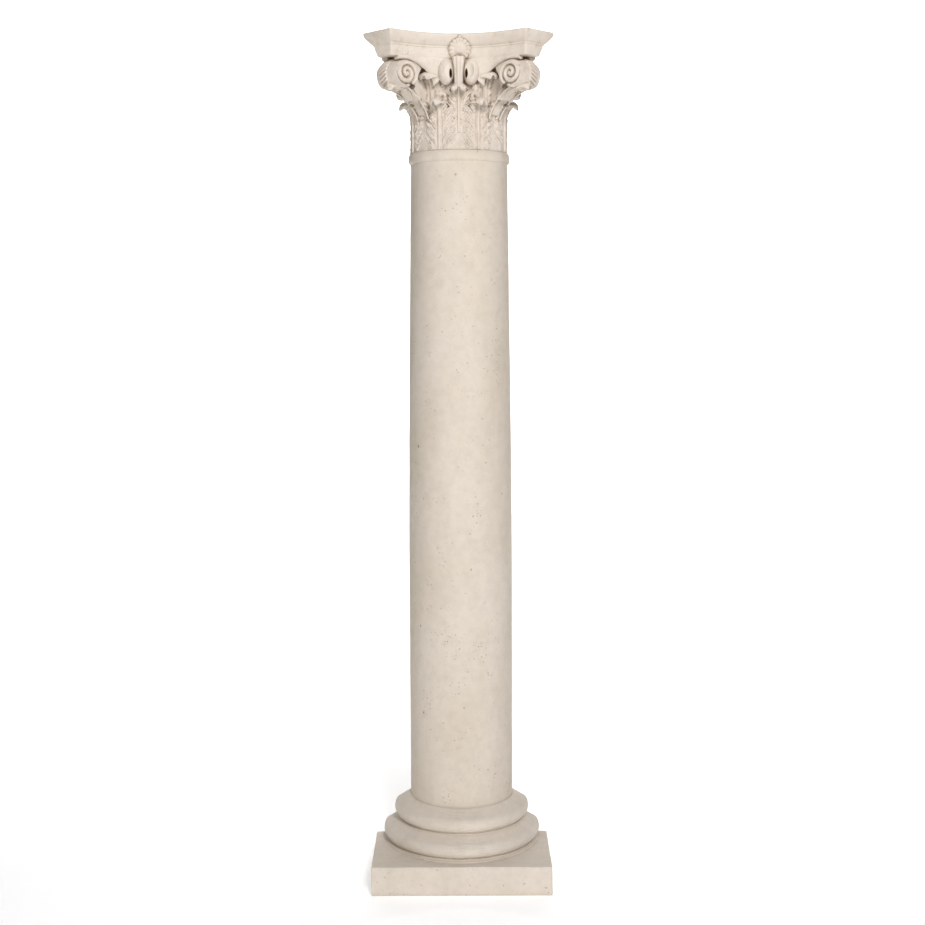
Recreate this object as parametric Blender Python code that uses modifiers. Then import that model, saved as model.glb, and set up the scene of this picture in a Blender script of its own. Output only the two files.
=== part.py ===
"""Half-round Corinthian column: a base with its plinth, a plain shaft with an astragal, and a leafy capital.

The flat back stands just behind the column's axis. The front faces -Y, and the sizes are in metres.
"""

import math

import bmesh
import bpy
from mathutils import Matrix, Vector

# Driving dimensions, in metres and degrees.
TOTAL_HEIGHT = 2.350
BACK_BEHIND_AXIS = 0.022
SEAM_GAP = 0.0003
SINK = 0.010
TURN_STEPS = 44
BELL_STEPS = 24

# The base: a plinth, a wide lower torus and a smaller upper torus.
PLINTH_WIDTH = 0.504
PLINTH_HEIGHT = 0.0835
PLINTH_DRAFT = 0.001
FOOT_RING_RADIUS = 0.2290
FOOT_RING_HEIGHT = 0.0035
FOOT_RING_LEDGE = 0.0100
FOOT_RING_SLOPE = 0.0015
LOWER_TORUS_RADIUS = 0.2280
LOWER_TORUS_HEIGHT = 0.0645
UPPER_TORUS_RADIUS = 0.1960
UPPER_TORUS_HEIGHT = 0.0625
UPPER_TORUS_LEDGE = 0.0020
TORUS_WAIST_RADIUS = 0.1800
TORUS_ROUND_SHARE = 0.56
TORUS_WIDEST_SHARE = 0.36
TORUS_SHOULDER_SHARE = 0.62

# The shaft: straight for its lower part, then drawn in, with an astragal round its top.
SHAFT_FOOT_RADIUS = 0.1500
SHAFT_NECK_RADIUS = 0.1365
SHAFT_STRAIGHT_SHARE = 0.36
SHAFT_SWELLING = 1.35
SHAFT_LEVELS = 6
ASTRAGAL_RADIUS = 0.1420
ASTRAGAL_HEIGHT = 0.0290

# The capital: a bell under an abacus with hollow sides and cut horns.
CAPITAL_HEIGHT = 0.2980
BELL_RADIUS = 0.1290
BELL_FOOT_RADIUS = 0.1340
BELL_TOP_RADIUS = 0.1460
BELL_LIP_RADIUS = 0.1490
BELL_LIP_HEIGHT = 0.0040
BELL_FLARE_SHARE = 0.55
ABACUS_HEIGHT = 0.0615
ABACUS_FILLET_HEIGHT = 0.0275
ABACUS_FILLET_STEP = 0.0030
ABACUS_RIM_HEIGHT = 0.0035
HORN_SIDE = 0.1770
HORN_REACH_TOP = 0.2550
HORN_REACH_BOTTOM = 0.2165
HOLLOW_REACH_TOP = 0.1790
HOLLOW_REACH_BOTTOM = 0.1510
HOLLOW_STEPS = 8

# How far out each level of the abacus stands between the outline of its underside and that of its top.
FILLET_FOOT_OUT = 0.235
FILLET_TOP_OUT = 0.34
OVOLO_FOOT_OUT = 0.45
OVOLO_MIDDLE_OUT = 0.83

# The leaves. Each rises straight to its bend, arches out by its reach and curls over at the tip.
# Heights and widths are shares of the capital's height, a bend is a share of the leaf's own height.
LEAF_COLUMNS = 6
LEAF_ROOT_THICKNESS = 0.0160
LEAF_TIP_THICKNESS = 0.0060
LEAF_TIP_CURL = 0.0085
LEAF_CURL_END = 195.0
LEAF_TIP_DROOP = 0.0090
LEAF_ROUND_SHARE = 0.26
LEAF_LOBE_SLOPE = 0.42
MIDRIB_HEIGHT = 0.0045
LEAF_SWELL = 0.0030
LEAF_EDGE_DROP = 0.0040
LEAF_BELOW_FOOT = 0.0040
LEAF_STAGGER = 0.0012
LOWER_LEAF_ANGLES = (-115.0, -69.0, -23.0, 23.0, 69.0, 115.0)
LOWER_LEAF_RADIUS = 0.1345
LOWER_LEAF_SHARE = 0.443
LOWER_LEAF_BEND = 0.62
LOWER_LEAF_REACH = 0.0240
LOWER_LEAF_WIDTH = 0.390
UPPER_LEAF_ANGLES = (-90.0, 0.0, 90.0)
UPPER_LEAF_RADIUS = 0.1310
UPPER_ROW_SHARE = 0.151
UPPER_LEAF_SHARE = 0.416
UPPER_LEAF_BEND = 0.52
UPPER_LEAF_REACH = 0.0250
UPPER_LEAF_WIDTH = 0.315
CORNER_LEAF_ANGLES = (-45.0, 45.0)
CORNER_LEAF_SHARE = 0.409
CORNER_LEAF_BEND = 0.04
CORNER_LEAF_REACH = 0.1600
CORNER_LEAF_WIDTH = 0.148
CORNER_LEAF_TURN = 76.0
CORNER_LEAF_DISH = 0.0080
CALYX_LEAF_ANGLES = (-58.0, -32.0, 32.0, 58.0)
CALYX_LEAF_RADIUS = 0.1360
CALYX_ROW_SHARE = 0.352
CALYX_LEAF_SHARE = 0.309
CALYX_LEAF_BEND = 0.43
CALYX_LEAF_REACH = 0.0240
CALYX_LEAF_WIDTH = 0.255

# The corner volutes, with the stems that spread up to them and the stone behind.
VOLUTE_FACE_SHARE = 0.124
VOLUTE_BAND_SHARE = 0.139
VOLUTE_DROP_SHARE = 0.151
VOLUTE_SIDE = 0.1395
VOLUTE_REACH = 0.1940
VOLUTE_TURNED = 38.0
VOLUTE_CONE = 0.0090
VOLUTE_EYE_RADIUS = 0.0060
VOLUTE_RIBBON = 0.0045
VOLUTE_TURNS = 2.3
STEM_DROP_SHARE = 0.297
STEM_END_DROP_SHARE = 0.035
STEM_START_SIDE = 0.0360
STEM_THICKNESS = 0.0200
STEM_STEPS = 6
WEB_THICKNESS = 0.0280
WEB_RISE_SHARE = 0.165

# The inner helices with their stalk, and the flower on the abacus.
HELIX_SIDE = 0.0330
HELIX_WIDTH = 0.0460
HELIX_SHARE = 0.235
HELIX_DEPTH = 0.0560
HELIX_BACK = 0.0060
HELIX_HOLLOW_SIDE = 0.0270
HELIX_HOLLOW_WIDTH = 0.0320
HELIX_HOLLOW_DEPTH = 0.0340
HELIX_HOLLOW_PROUD = 0.0270
SLOT_SIDE = 0.0210
SLOT_WIDTH = 0.0080
SLOT_DEPTH = 0.0600
SLOT_PROUD = 0.0100
STALK_FOOT_WIDTH = 0.0230
STALK_TOP_WIDTH = 0.0380
STALK_DEPTH = 0.0240
FLOWER_RADIUS = 0.0325
FLOWER_RISE = 0.0215
FLOWER_ASIDE = 0.0030
FLOWER_FACE = 0.0080
FLOWER_PROUD = 0.0150
FLOWER_LEAN = 0.45
FLOWER_PETALS = 15
PETAL_NOTCH = 0.13

# Heights and places that follow from the driving dimensions.
SHAFT_TOP = TOTAL_HEIGHT - CAPITAL_HEIGHT
CAPITAL_FOOT = SHAFT_TOP + SEAM_GAP
LEAF_FOOT = CAPITAL_FOOT - LEAF_BELOW_FOOT
UPPER_ROW_FOOT = CAPITAL_FOOT + UPPER_ROW_SHARE * CAPITAL_HEIGHT
CALYX_ROW_FOOT = CAPITAL_FOOT + CALYX_ROW_SHARE * CAPITAL_HEIGHT
ABACUS_FOOT = TOTAL_HEIGHT - ABACUS_HEIGHT
LOWER_TORUS_FOOT = PLINTH_HEIGHT + FOOT_RING_HEIGHT
UPPER_TORUS_FOOT = LOWER_TORUS_FOOT + LOWER_TORUS_HEIGHT
BASE_TOP = UPPER_TORUS_FOOT + UPPER_TORUS_HEIGHT
SHAFT_FOOT = BASE_TOP + SEAM_GAP
VOLUTE_FACE_RADIUS = VOLUTE_FACE_SHARE * CAPITAL_HEIGHT
VOLUTE_BAND_RADIUS = VOLUTE_BAND_SHARE * CAPITAL_HEIGHT
VOLUTE_HEIGHT = ABACUS_FOOT - VOLUTE_DROP_SHARE * CAPITAL_HEIGHT
STEM_DROP = STEM_DROP_SHARE * CAPITAL_HEIGHT
HELIX_HEIGHT = HELIX_SHARE * CAPITAL_HEIGHT
HELIX_MIDDLE = ABACUS_FOOT - 0.47 * HELIX_HEIGHT
FRONT_REACH = max(PLINTH_WIDTH / 2 + PLINTH_DRAFT, HORN_REACH_TOP)
AXIS_Y = (FRONT_REACH - BACK_BEHIND_AXIS) / 2
BACK_Y = AXIS_Y + BACK_BEHIND_AXIS
FULL_TURN = 2 * math.pi

STONE_COLOUR = (0.72, 0.64, 0.54, 1.0)


def clear_scene():
    for old in list(bpy.data.objects):
        bpy.data.objects.remove(old, do_unlink=True)


def make_collection(name):
    made = bpy.data.collections.new(name)
    bpy.context.scene.collection.children.link(made)
    return made


def make_object(name, mesh, collection):
    made = bpy.data.objects.new(name, mesh)
    collection.objects.link(made)
    return made


def make_guide(name, mesh, collection):
    """An object that only joins or cuts another one."""
    made = make_object(name, mesh, collection)
    made.hide_render = True
    made.display_type = "WIRE"
    return made


def stone(name):
    material = bpy.data.materials.new(name)
    material.use_nodes = True
    shader = material.node_tree.nodes["Principled BSDF"]
    shader.inputs["Base Color"].default_value = STONE_COLOUR
    shader.inputs["Roughness"].default_value = 0.85
    shader.inputs["Metallic"].default_value = 0.0
    return material


def join_with(target, other, operation, solver="EXACT"):
    """One Boolean step between two closed solids. The carving's many thin overlaps need the MANIFOLD solver."""
    step = target.modifiers.new(f"{operation.lower()} {other.name}", "BOOLEAN")
    step.operation = operation
    step.solver = solver
    step.object = other


def turned(name, profile, collection, make=make_object, steps=TURN_STEPS):
    """A profile of (radius, height) pairs, from top to bottom, turned round the column's axis."""
    mesh = bpy.data.meshes.new(name)
    points = [(radius, 0.0, height) for radius, height in profile]
    mesh.from_pydata(points, [(n, n + 1) for n in range(len(points) - 1)], [])
    made = make(name, mesh, collection)
    made.location = (0.0, AXIS_Y, 0.0)
    made.rotation_euler.z = math.pi / steps
    screw = made.modifiers.new("turn", "SCREW")
    screw.steps = steps
    screw.render_steps = steps
    screw.use_merge_vertices = True
    screw.merge_threshold = 0.00001
    return made


def make_block(name, low, high, collection):
    """A plain block between two corners, for cutting."""
    mesh = bpy.data.meshes.new(name)
    work = bmesh.new()
    bmesh.ops.create_cube(work, size=1.0)
    bmesh.ops.scale(work, verts=work.verts, vec=[b - a for a, b in zip(low, high)])
    bmesh.ops.translate(work, verts=work.verts, vec=[(a + b) / 2 for a, b in zip(low, high)])
    work.to_mesh(mesh)
    work.free()
    return make_guide(name, mesh, collection)


def loft(name, rings, guides, first_apex=None, last_apex=None):
    """A closed solid through rings with equal counts of points. An apex closes its end with a fan."""
    work = bmesh.new()
    count = len(rings[0])
    made = [[work.verts.new(place) for place in ring] for ring in rings]
    for ring, after in zip(made, made[1:]):
        for n in range(count):
            m = (n + 1) % count
            work.faces.new((ring[n], ring[m], after[m], after[n]))
    bmesh.ops.triangulate(work, faces=work.faces, quad_method="SHORT_EDGE")
    for ring, apex in ((made[0], first_apex), (made[-1], last_apex)):
        if apex is None:
            work.faces.new(ring)
            continue
        middle = work.verts.new(apex)
        for n in range(count):
            work.faces.new((ring[n], ring[(n + 1) % count], middle))
    bmesh.ops.recalc_face_normals(work, faces=work.faces)
    if work.calc_volume(signed=True) < 0:
        bmesh.ops.reverse_faces(work, faces=work.faces)
    mesh = bpy.data.meshes.new(name)
    work.to_mesh(mesh)
    work.free()
    return make_guide(name, mesh, guides)


# The base


def torus_profile(radius, inner_top, inner_foot, foot, height):
    """The outer side of a torus with a rounded edge and a sloping upper face, from top to bottom."""
    edge = radius - TORUS_ROUND_SHARE * (radius - inner_top)
    points = [(inner_top, foot + height)]
    middle = foot + TORUS_WIDEST_SHARE * height
    for step in range(6):
        angle = math.radians(70 - step * 27)
        rise = (foot + height - middle) * TORUS_SHOULDER_SHARE if angle > 0 else middle - foot
        points.append((edge + (radius - edge) * math.cos(angle), middle + rise * math.sin(angle)))
    points[-1] = (max(inner_foot, points[-1][0]), foot)
    return points


def base_profile():
    upper = torus_profile(
        UPPER_TORUS_RADIUS, SHAFT_FOOT_RADIUS + UPPER_TORUS_LEDGE, TORUS_WAIST_RADIUS, UPPER_TORUS_FOOT,
        UPPER_TORUS_HEIGHT
    )
    lower = torus_profile(
        LOWER_TORUS_RADIUS, TORUS_WAIST_RADIUS, FOOT_RING_RADIUS - FOOT_RING_LEDGE, LOWER_TORUS_FOOT,
        LOWER_TORUS_HEIGHT
    )
    foot = [
        (FOOT_RING_RADIUS, LOWER_TORUS_FOOT - FOOT_RING_SLOPE),
        (FOOT_RING_RADIUS, PLINTH_HEIGHT / 2),
    ]
    return [(0.0, BASE_TOP)] + upper + lower + foot + [(0.0, PLINTH_HEIGHT / 2)]


def make_plinth(collection):
    mesh = bpy.data.meshes.new("plinth")
    work = bmesh.new()
    bmesh.ops.create_cube(work, size=1.0)
    for corner in work.verts:
        half = PLINTH_WIDTH / 2 + (PLINTH_DRAFT if corner.co.z < 0 else 0.0)
        side = math.copysign(half, corner.co.x)
        depth = AXIS_Y - half if corner.co.y < 0 else BACK_Y
        corner.co = (side, depth, 0.0 if corner.co.z < 0 else PLINTH_HEIGHT)
    work.to_mesh(mesh)
    work.free()
    return make_object("base", mesh, collection)


def make_base(parts, guides, cutter):
    base = make_plinth(parts)
    rings = turned("base_rings", base_profile(), guides, make_guide)
    join_with(rings, cutter, "DIFFERENCE")
    join_with(base, rings, "UNION")
    base.data.materials.append(stone("base_stone"))
    return base


# The shaft


def shaft_radius(share):
    """Radius at a share of the shaft's height: straight below, then a gentle swelling inwards."""
    if share <= SHAFT_STRAIGHT_SHARE:
        return SHAFT_FOOT_RADIUS
    run = (share - SHAFT_STRAIGHT_SHARE) / (1 - SHAFT_STRAIGHT_SHARE)
    return SHAFT_FOOT_RADIUS + (SHAFT_NECK_RADIUS - SHAFT_FOOT_RADIUS) * run**SHAFT_SWELLING


def shaft_profile():
    neck = SHAFT_TOP - ASTRAGAL_HEIGHT
    points = [(0.0, SHAFT_TOP)]
    bulge = ASTRAGAL_RADIUS - SHAFT_NECK_RADIUS
    for step in range(5):
        angle = math.radians(90 - step * 45)
        points.append(
            (
                SHAFT_NECK_RADIUS + bulge * math.cos(angle),
                neck + ASTRAGAL_HEIGHT / 2 * (1 + math.sin(angle)),
            )
        )
    for level in range(1, SHAFT_LEVELS + 1):
        share = 1 - level / SHAFT_LEVELS
        points.append((shaft_radius(share), SHAFT_FOOT + share * (neck - SHAFT_FOOT)))
    points.append((0.0, SHAFT_FOOT))
    return points


def make_shaft(parts, cutter):
    shaft = turned("shaft", shaft_profile(), parts)
    join_with(shaft, cutter, "DIFFERENCE")
    shaft.data.materials.append(stone("shaft_stone"))
    return shaft


# The capital's bell and abacus


def bell_profile():
    """The bell's outline, from its top inside the abacus down to its foot."""
    points = [(0.0, ABACUS_FOOT + SINK)]
    points.append((BELL_LIP_RADIUS, ABACUS_FOOT + SINK))
    points.append((BELL_LIP_RADIUS, ABACUS_FOOT - BELL_LIP_HEIGHT))
    flare_foot = CAPITAL_FOOT + BELL_FLARE_SHARE * (ABACUS_FOOT - CAPITAL_FOOT)
    flare_top = ABACUS_FOOT - 2 * BELL_LIP_HEIGHT
    steps = 5
    for step in range(1, steps + 1):
        share = 1 - step / steps
        radius = BELL_RADIUS + (BELL_TOP_RADIUS - BELL_RADIUS) * share**2
        points.append((radius, flare_foot + (flare_top - flare_foot) * share))
    points.append((BELL_FOOT_RADIUS, LEAF_FOOT))
    points.append((0.0, LEAF_FOOT))
    return points


def abacus_outline(horn_reach, hollow_reach):
    """One level of the abacus: four hollow sides between cut horns."""
    outline = []
    for side in range(4):
        turn = Matrix.Rotation(math.radians(90 * side), 2)
        for step in range(HOLLOW_STEPS + 1):
            across = -1 + 2 * step / HOLLOW_STEPS
            reach = hollow_reach + (horn_reach - hollow_reach) * across**2
            outline.append(turn @ Vector((across * HORN_SIDE, -reach)))
    return outline


def abacus_levels():
    """Height, and how far out between the outlines of underside and top, of each level from below."""
    fillet = ABACUS_FOOT + ABACUS_FILLET_HEIGHT
    rim = TOTAL_HEIGHT - ABACUS_RIM_HEIGHT
    ovolo_foot = fillet + ABACUS_FILLET_STEP
    return [
        (ABACUS_FOOT, 0.0),
        (fillet - ABACUS_FILLET_STEP / 2, FILLET_FOOT_OUT),
        (fillet, FILLET_TOP_OUT),
        (ovolo_foot, OVOLO_FOOT_OUT),
        ((ovolo_foot + rim) / 2, OVOLO_MIDDLE_OUT),
        (rim, 1.0),
        (TOTAL_HEIGHT, 1.0),
    ]


def make_abacus(guides):
    rings = []
    for height, out in abacus_levels():
        horn = HORN_REACH_BOTTOM + (HORN_REACH_TOP - HORN_REACH_BOTTOM) * out
        hollow = HOLLOW_REACH_BOTTOM + (HOLLOW_REACH_TOP - HOLLOW_REACH_BOTTOM) * out
        rings.append([Vector((p.x, p.y + AXIS_Y, height)) for p in abacus_outline(horn, hollow)])
    below = Vector((0.0, AXIS_Y, ABACUS_FOOT))
    above = Vector((0.0, AXIS_Y, TOTAL_HEIGHT))
    return loft("abacus", rings, guides, below, above)


# The capital's leaves


def polar(angle, radius, height):
    """A point at an angle from the front, at a radius from the axis."""
    return Vector((radius * math.sin(angle), AXIS_Y - radius * math.cos(angle), height))


def leaf_line(radius, foot, bend, height, reach, turn):
    """The leaf's middle line: straight up, out along part of an oval, and over in a curl at the tip."""
    fine = 40
    line = [(radius, foot)]
    for n in range(fine + 1):
        angle = math.radians(turn) * n / fine
        line.append((radius + reach * (1 - math.cos(angle)), foot + bend + (height - bend) * math.sin(angle)))
    (out, up), (before_out, before_up) = line[-1], line[-2]
    heading = math.atan2(out - before_out, up - before_up)
    for n in range(1, fine + 1):
        angle = heading + (math.radians(LEAF_CURL_END) - heading) * n / fine
        line.append((
            out + LEAF_TIP_CURL * (math.cos(heading) - math.cos(angle)),
            up + LEAF_TIP_CURL * (math.sin(angle) - math.sin(heading)),
        ))
    return line


def moved_out(line, step):
    """The same line a little further from the axis, so that neighbouring leaves don't meet edge on edge."""
    return [(out + step, up) for out, up in line]


def leaf_spine(line, shares):
    """Radius, height and direction of travel from upright at shares of the line's length."""
    lengths = [0.0]
    for before, after in zip(line, line[1:]):
        lengths.append(lengths[-1] + math.dist(before, after))
    points = []
    piece = 0
    for share in shares:
        while piece < len(line) - 2 and lengths[piece + 1] < lengths[-1] * share:
            piece += 1
        (out, up), (next_out, next_up) = line[piece], line[piece + 1]
        part = (lengths[-1] * share - lengths[piece]) / (lengths[piece + 1] - lengths[piece])
        direction = math.atan2(next_out - out, next_up - up)
        points.append((out + (next_out - out) * part, up + (next_up - up) * part, direction))
    return points


def smooth_step(value):
    value = min(max(value, 0.0), 1.0)
    return value * value * (3 - 2 * value)


def leaf_width(along, width, lobes, taper):
    """Half the leaf's width at a share of its length, drawn in between its lobes and rounded at its tip."""
    fullness = 0.90 + 0.10 * math.sin(math.pi * min(along / 0.6, 1.0))
    narrowing = 1.0 - (1.0 - taper) * max((along - 0.50) / 0.50, 0.0) ** 1.7
    notch = 0.5 + 0.5 * math.cos(FULL_TURN * lobes * (along - LEAF_LOBE_SLOPE))
    near_tip = max(along - 1 + LEAF_ROUND_SHARE, 0.0) / LEAF_ROUND_SHARE
    rounding = math.sqrt(1 - 0.90 * near_tip**2.4)
    return width / 2 * fullness * narrowing * rounding * (1 - 0.17 * notch**2)


def make_leaf(name, guides, angle, line, width, lobes=4, taper=0.50, dish=0.0, spread=0.0, rows=7):
    """An acanthus leaf: a lobed sheet with a raised midrib, thick at its root and thin at its curled tip.

    dish hollows its face out, and spread lets it widen as it reaches out.
    """
    shares = [1 - (1 - row / rows) ** 1.6 for row in range(rows + 1)]
    root = line[0][0]
    swing = math.radians(angle)
    rings = []
    for along, (out, up, direction) in zip(shares, leaf_spine(line, shares)):
        half_width = leaf_width(along, width, lobes, taper) * (out / root) ** spread
        thickness = LEAF_ROOT_THICKNESS + (LEAF_TIP_THICKNESS - LEAF_ROOT_THICKNESS) * min(along / 0.75, 1.0)
        droop = LEAF_TIP_DROOP * smooth_step((along - 0.62) / 0.30)
        front = []
        back = []
        for column in range(LEAF_COLUMNS + 1):
            across = -1 + 2 * column / LEAF_COLUMNS
            rib = MIDRIB_HEIGHT if column * 2 == LEAF_COLUMNS and dish == 0 else 0.0
            swell = LEAF_SWELL * math.sin(abs(across) * math.pi)
            hollow = dish * (1 - across**2)
            relief = (rib + swell - hollow - LEAF_EDGE_DROP * across**2) * (1 - 0.5 * along**4)
            bearing = swing + across * half_width / max(out, root)
            low = up - droop * across**2
            cosine, sine = math.cos(direction), math.sin(direction)
            front.append(polar(bearing, out + relief * cosine, low - relief * sine))
            if column % (LEAF_COLUMNS // 2) == 0:
                behind = thickness + hollow
                back.append(polar(bearing, out - behind * cosine, low + behind * sine))
        rings.append(front + back[::-1])
    return loft(name, rings, guides)


def make_leaves(guides):
    leaves = []
    low = LOWER_LEAF_SHARE * CAPITAL_HEIGHT
    middle = UPPER_LEAF_SHARE * CAPITAL_HEIGHT
    corner = CORNER_LEAF_SHARE * CAPITAL_HEIGHT
    small = CALYX_LEAF_SHARE * CAPITAL_HEIGHT
    lines = {
        "lower": leaf_line(LOWER_LEAF_RADIUS, LEAF_FOOT, LOWER_LEAF_BEND * low, low, LOWER_LEAF_REACH, 90),
        "upper": leaf_line(
            UPPER_LEAF_RADIUS, UPPER_ROW_FOOT, UPPER_LEAF_BEND * middle, middle, UPPER_LEAF_REACH, 90
        ),
        "corner": leaf_line(
            UPPER_LEAF_RADIUS, UPPER_ROW_FOOT, CORNER_LEAF_BEND * corner, corner, CORNER_LEAF_REACH, CORNER_LEAF_TURN
        ),
        "calyx": leaf_line(CALYX_LEAF_RADIUS, CALYX_ROW_FOOT, CALYX_LEAF_BEND * small, small, CALYX_LEAF_REACH, 90),
    }
    for number, angle in enumerate(LOWER_LEAF_ANGLES):
        width = LOWER_LEAF_WIDTH * CAPITAL_HEIGHT
        line = moved_out(lines["lower"], LEAF_STAGGER * (number % 2))
        leaves.append(make_leaf(f"lower_leaf_{number}", guides, angle, line, width))
    for number, angle in enumerate(UPPER_LEAF_ANGLES):
        width = UPPER_LEAF_WIDTH * CAPITAL_HEIGHT
        leaves.append(make_leaf(f"upper_leaf_{number}", guides, angle, lines["upper"], width))
    for number, angle in enumerate(CORNER_LEAF_ANGLES):
        width = CORNER_LEAF_WIDTH * CAPITAL_HEIGHT
        leaves.append(
            make_leaf(f"corner_leaf_{number}", guides, angle, lines["corner"], width, lobes=5, taper=0.80,
                      dish=CORNER_LEAF_DISH, spread=1.0)
        )
    for number, angle in enumerate(CALYX_LEAF_ANGLES):
        width = CALYX_LEAF_WIDTH * CAPITAL_HEIGHT
        line = moved_out(lines["calyx"], LEAF_STAGGER * (number % 2))
        leaves.append(
            make_leaf(f"calyx_leaf_{number}", guides, angle, line, width, lobes=3, taper=0.75, rows=6)
        )
    return leaves


# The capital's volutes, stems and helices


def volute_point(side, face, across, up, proud):
    """A point on a corner volute, from its spiral's centre.

    side is -1 or 1 for the left or right corner, and face is 0 for the spiral that looks forwards and 1 for its
    mirror image on the flank. across runs towards the horn, up upwards and proud out of the spiral.
    """
    turned_by = math.radians(VOLUTE_TURNED)
    x = VOLUTE_SIDE + across * math.cos(turned_by) - proud * math.sin(turned_by)
    y = -VOLUTE_REACH - across * math.sin(turned_by) - proud * math.cos(turned_by)
    if face == 1:
        x, y = -y, -x
    return Vector((side * x, AXIS_Y + y, VOLUTE_HEIGHT + up))


def make_volute_body(side, guides):
    """The scroll between the two spirals of a corner, with a low cone on each face."""
    rim_points = 18
    levels = 3
    rings = []
    for level in range(levels + 1):
        share = level / levels
        radius = VOLUTE_FACE_RADIUS
        radius += (VOLUTE_BAND_RADIUS - VOLUTE_FACE_RADIUS) * smooth_step(2.6 * min(share, 1 - share))
        ring = []
        for n in range(rim_points):
            angle = FULL_TURN * n / rim_points
            ends = [
                volute_point(side, face, radius * math.cos(angle), radius * math.sin(angle), 0.0)
                for face in (0, 1)
            ]
            ring.append(ends[0].lerp(ends[1], share))
        rings.append(ring)
    tips = [volute_point(side, face, 0.0, 0.0, VOLUTE_CONE) for face in (0, 1)]
    return loft(f"volute_body_{side}", rings, guides, tips[0], tips[1])


def make_ribbon(name, points, size, guides):
    """A three-sided ribbon of one thickness that follows a line of points, its back sunk below the line."""
    rings = []
    for n, place in enumerate(points):
        travel = (points[min(n + 1, len(points) - 1)] - points[max(n - 1, 0)]).normalized()
        outward = Vector((place.x, place.y - AXIS_Y, 0.0)).normalized()
        across = travel.cross(outward).normalized()
        outward = across.cross(travel).normalized()
        rings.append([place + step * size for step in (across - outward / 2, outward, -across - outward / 2)])
    return loft(name, rings, guides)


def make_spiral(side, face, guides):
    """The raised spiral that winds over the face of a volute to its eye."""
    steps = round(6 * VOLUTE_TURNS)
    rim = VOLUTE_FACE_RADIUS - VOLUTE_RIBBON
    points = []
    for step in range(steps + 1):
        share = step / steps
        angle = math.pi / 2 - FULL_TURN * VOLUTE_TURNS * share
        radius = VOLUTE_EYE_RADIUS + (rim - VOLUTE_EYE_RADIUS) * (1 - share)
        proud = VOLUTE_CONE * (1 - radius / VOLUTE_FACE_RADIUS)
        points.append(volute_point(side, face, radius * math.cos(angle), radius * math.sin(angle), proud))
    return make_ribbon(f"volute_spiral_{side}_{face}", points, VOLUTE_RIBBON, guides)


def abacus_reach(across):
    """How far out the abacus's lower edge lies, at a distance across from the middle of a side."""
    return HOLLOW_REACH_BOTTOM + (HORN_REACH_BOTTOM - HOLLOW_REACH_BOTTOM) * (across / HORN_SIDE) ** 2


def mirrored(place, side):
    """The place on the flank that mirrors a place on the front, across the corner's diagonal."""
    x, y = place.x, place.y - AXIS_Y
    return Vector((-y * side, AXIS_Y - x * side, place.z))


def make_stem(side, face, guides):
    """The broad stem that spreads from the leaves up to the abacus and runs out over the volute."""
    around = 8
    high = ABACUS_FOOT + SINK * 0.8
    end_drop = STEM_END_DROP_SHARE * CAPITAL_HEIGHT
    rings = []
    for step in range(STEM_STEPS + 1):
        share = step / STEM_STEPS
        across = STEM_START_SIDE + (VOLUTE_SIDE - STEM_START_SIDE) * share
        depth = abacus_reach(across) - STEM_THICKNESS * 0.55
        low = ABACUS_FOOT - STEM_DROP + (STEM_DROP - end_drop) * math.sin(math.pi / 2 * share**0.8)
        slope = (abacus_reach(across + SINK) - abacus_reach(across)) / SINK
        over = Vector((-slope, 1.0, 0.0)).normalized() * STEM_THICKNESS / 2
        ring = []
        for n in range(around):
            angle = FULL_TURN * n / around
            place = Vector((across, -depth, (low + high) / 2))
            place += Vector((0.0, 0.0, (high - low) / 2)) * math.cos(angle) + over * math.sin(angle)
            ring.append(Vector((side * place.x, AXIS_Y + place.y, place.z)))
        if face == 1:
            ring = [mirrored(place, side) for place in ring]
        rings.append(ring)
    return loft(f"stem_{side}_{face}", rings, guides)


def make_corner_web(side, guides):
    """The solid stone between the bell, the volute and the horn of the abacus."""
    inner = BELL_RADIUS * 0.8
    outer = (VOLUTE_SIDE + VOLUTE_REACH) / math.sqrt(2)
    outline = [
        (inner, ABACUS_FOOT + SINK),
        (inner, UPPER_ROW_FOOT + WEB_RISE_SHARE * CAPITAL_HEIGHT),
        (outer, VOLUTE_HEIGHT - VOLUTE_FACE_RADIUS / 2),
        (outer, ABACUS_FOOT + SINK),
    ]
    along = Vector((side, -1.0, 0.0)).normalized()
    over = Vector((1.0, side, 0.0)).normalized() * WEB_THICKNESS / 2
    rings = []
    for end in (-over, over):
        start = Vector((0.0, AXIS_Y, 0.0)) + end
        rings.append([start + along * out + Vector((0.0, 0.0, up)) for out, up in outline])
    return loft(f"corner_web_{side}", rings, guides)


def make_volutes(guides):
    made = []
    for side in (-1, 1):
        made.append(make_corner_web(side, guides))
        made.append(make_volute_body(side, guides))
        for face in (0, 1):
            made.append(make_spiral(side, face, guides))
            made.append(make_stem(side, face, guides))
    return made


def make_ball(name, middle, size, guides, turn=0.0, segments=8, rings=5):
    """An egg with three different widths, turned about the column's axis."""
    mesh = bpy.data.meshes.new(name)
    work = bmesh.new()
    bmesh.ops.create_uvsphere(work, u_segments=segments, v_segments=rings, radius=0.5)
    bmesh.ops.scale(work, verts=work.verts, vec=size)
    bmesh.ops.translate(work, verts=work.verts, vec=middle)
    bmesh.ops.rotate(work, verts=work.verts, cent=(0.0, 0.0, 0.0), matrix=Matrix.Rotation(turn, 3, "Z"))
    bmesh.ops.translate(work, verts=work.verts, vec=(0.0, AXIS_Y, 0.0))
    work.to_mesh(mesh)
    work.free()
    return make_guide(name, mesh, guides)


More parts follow.
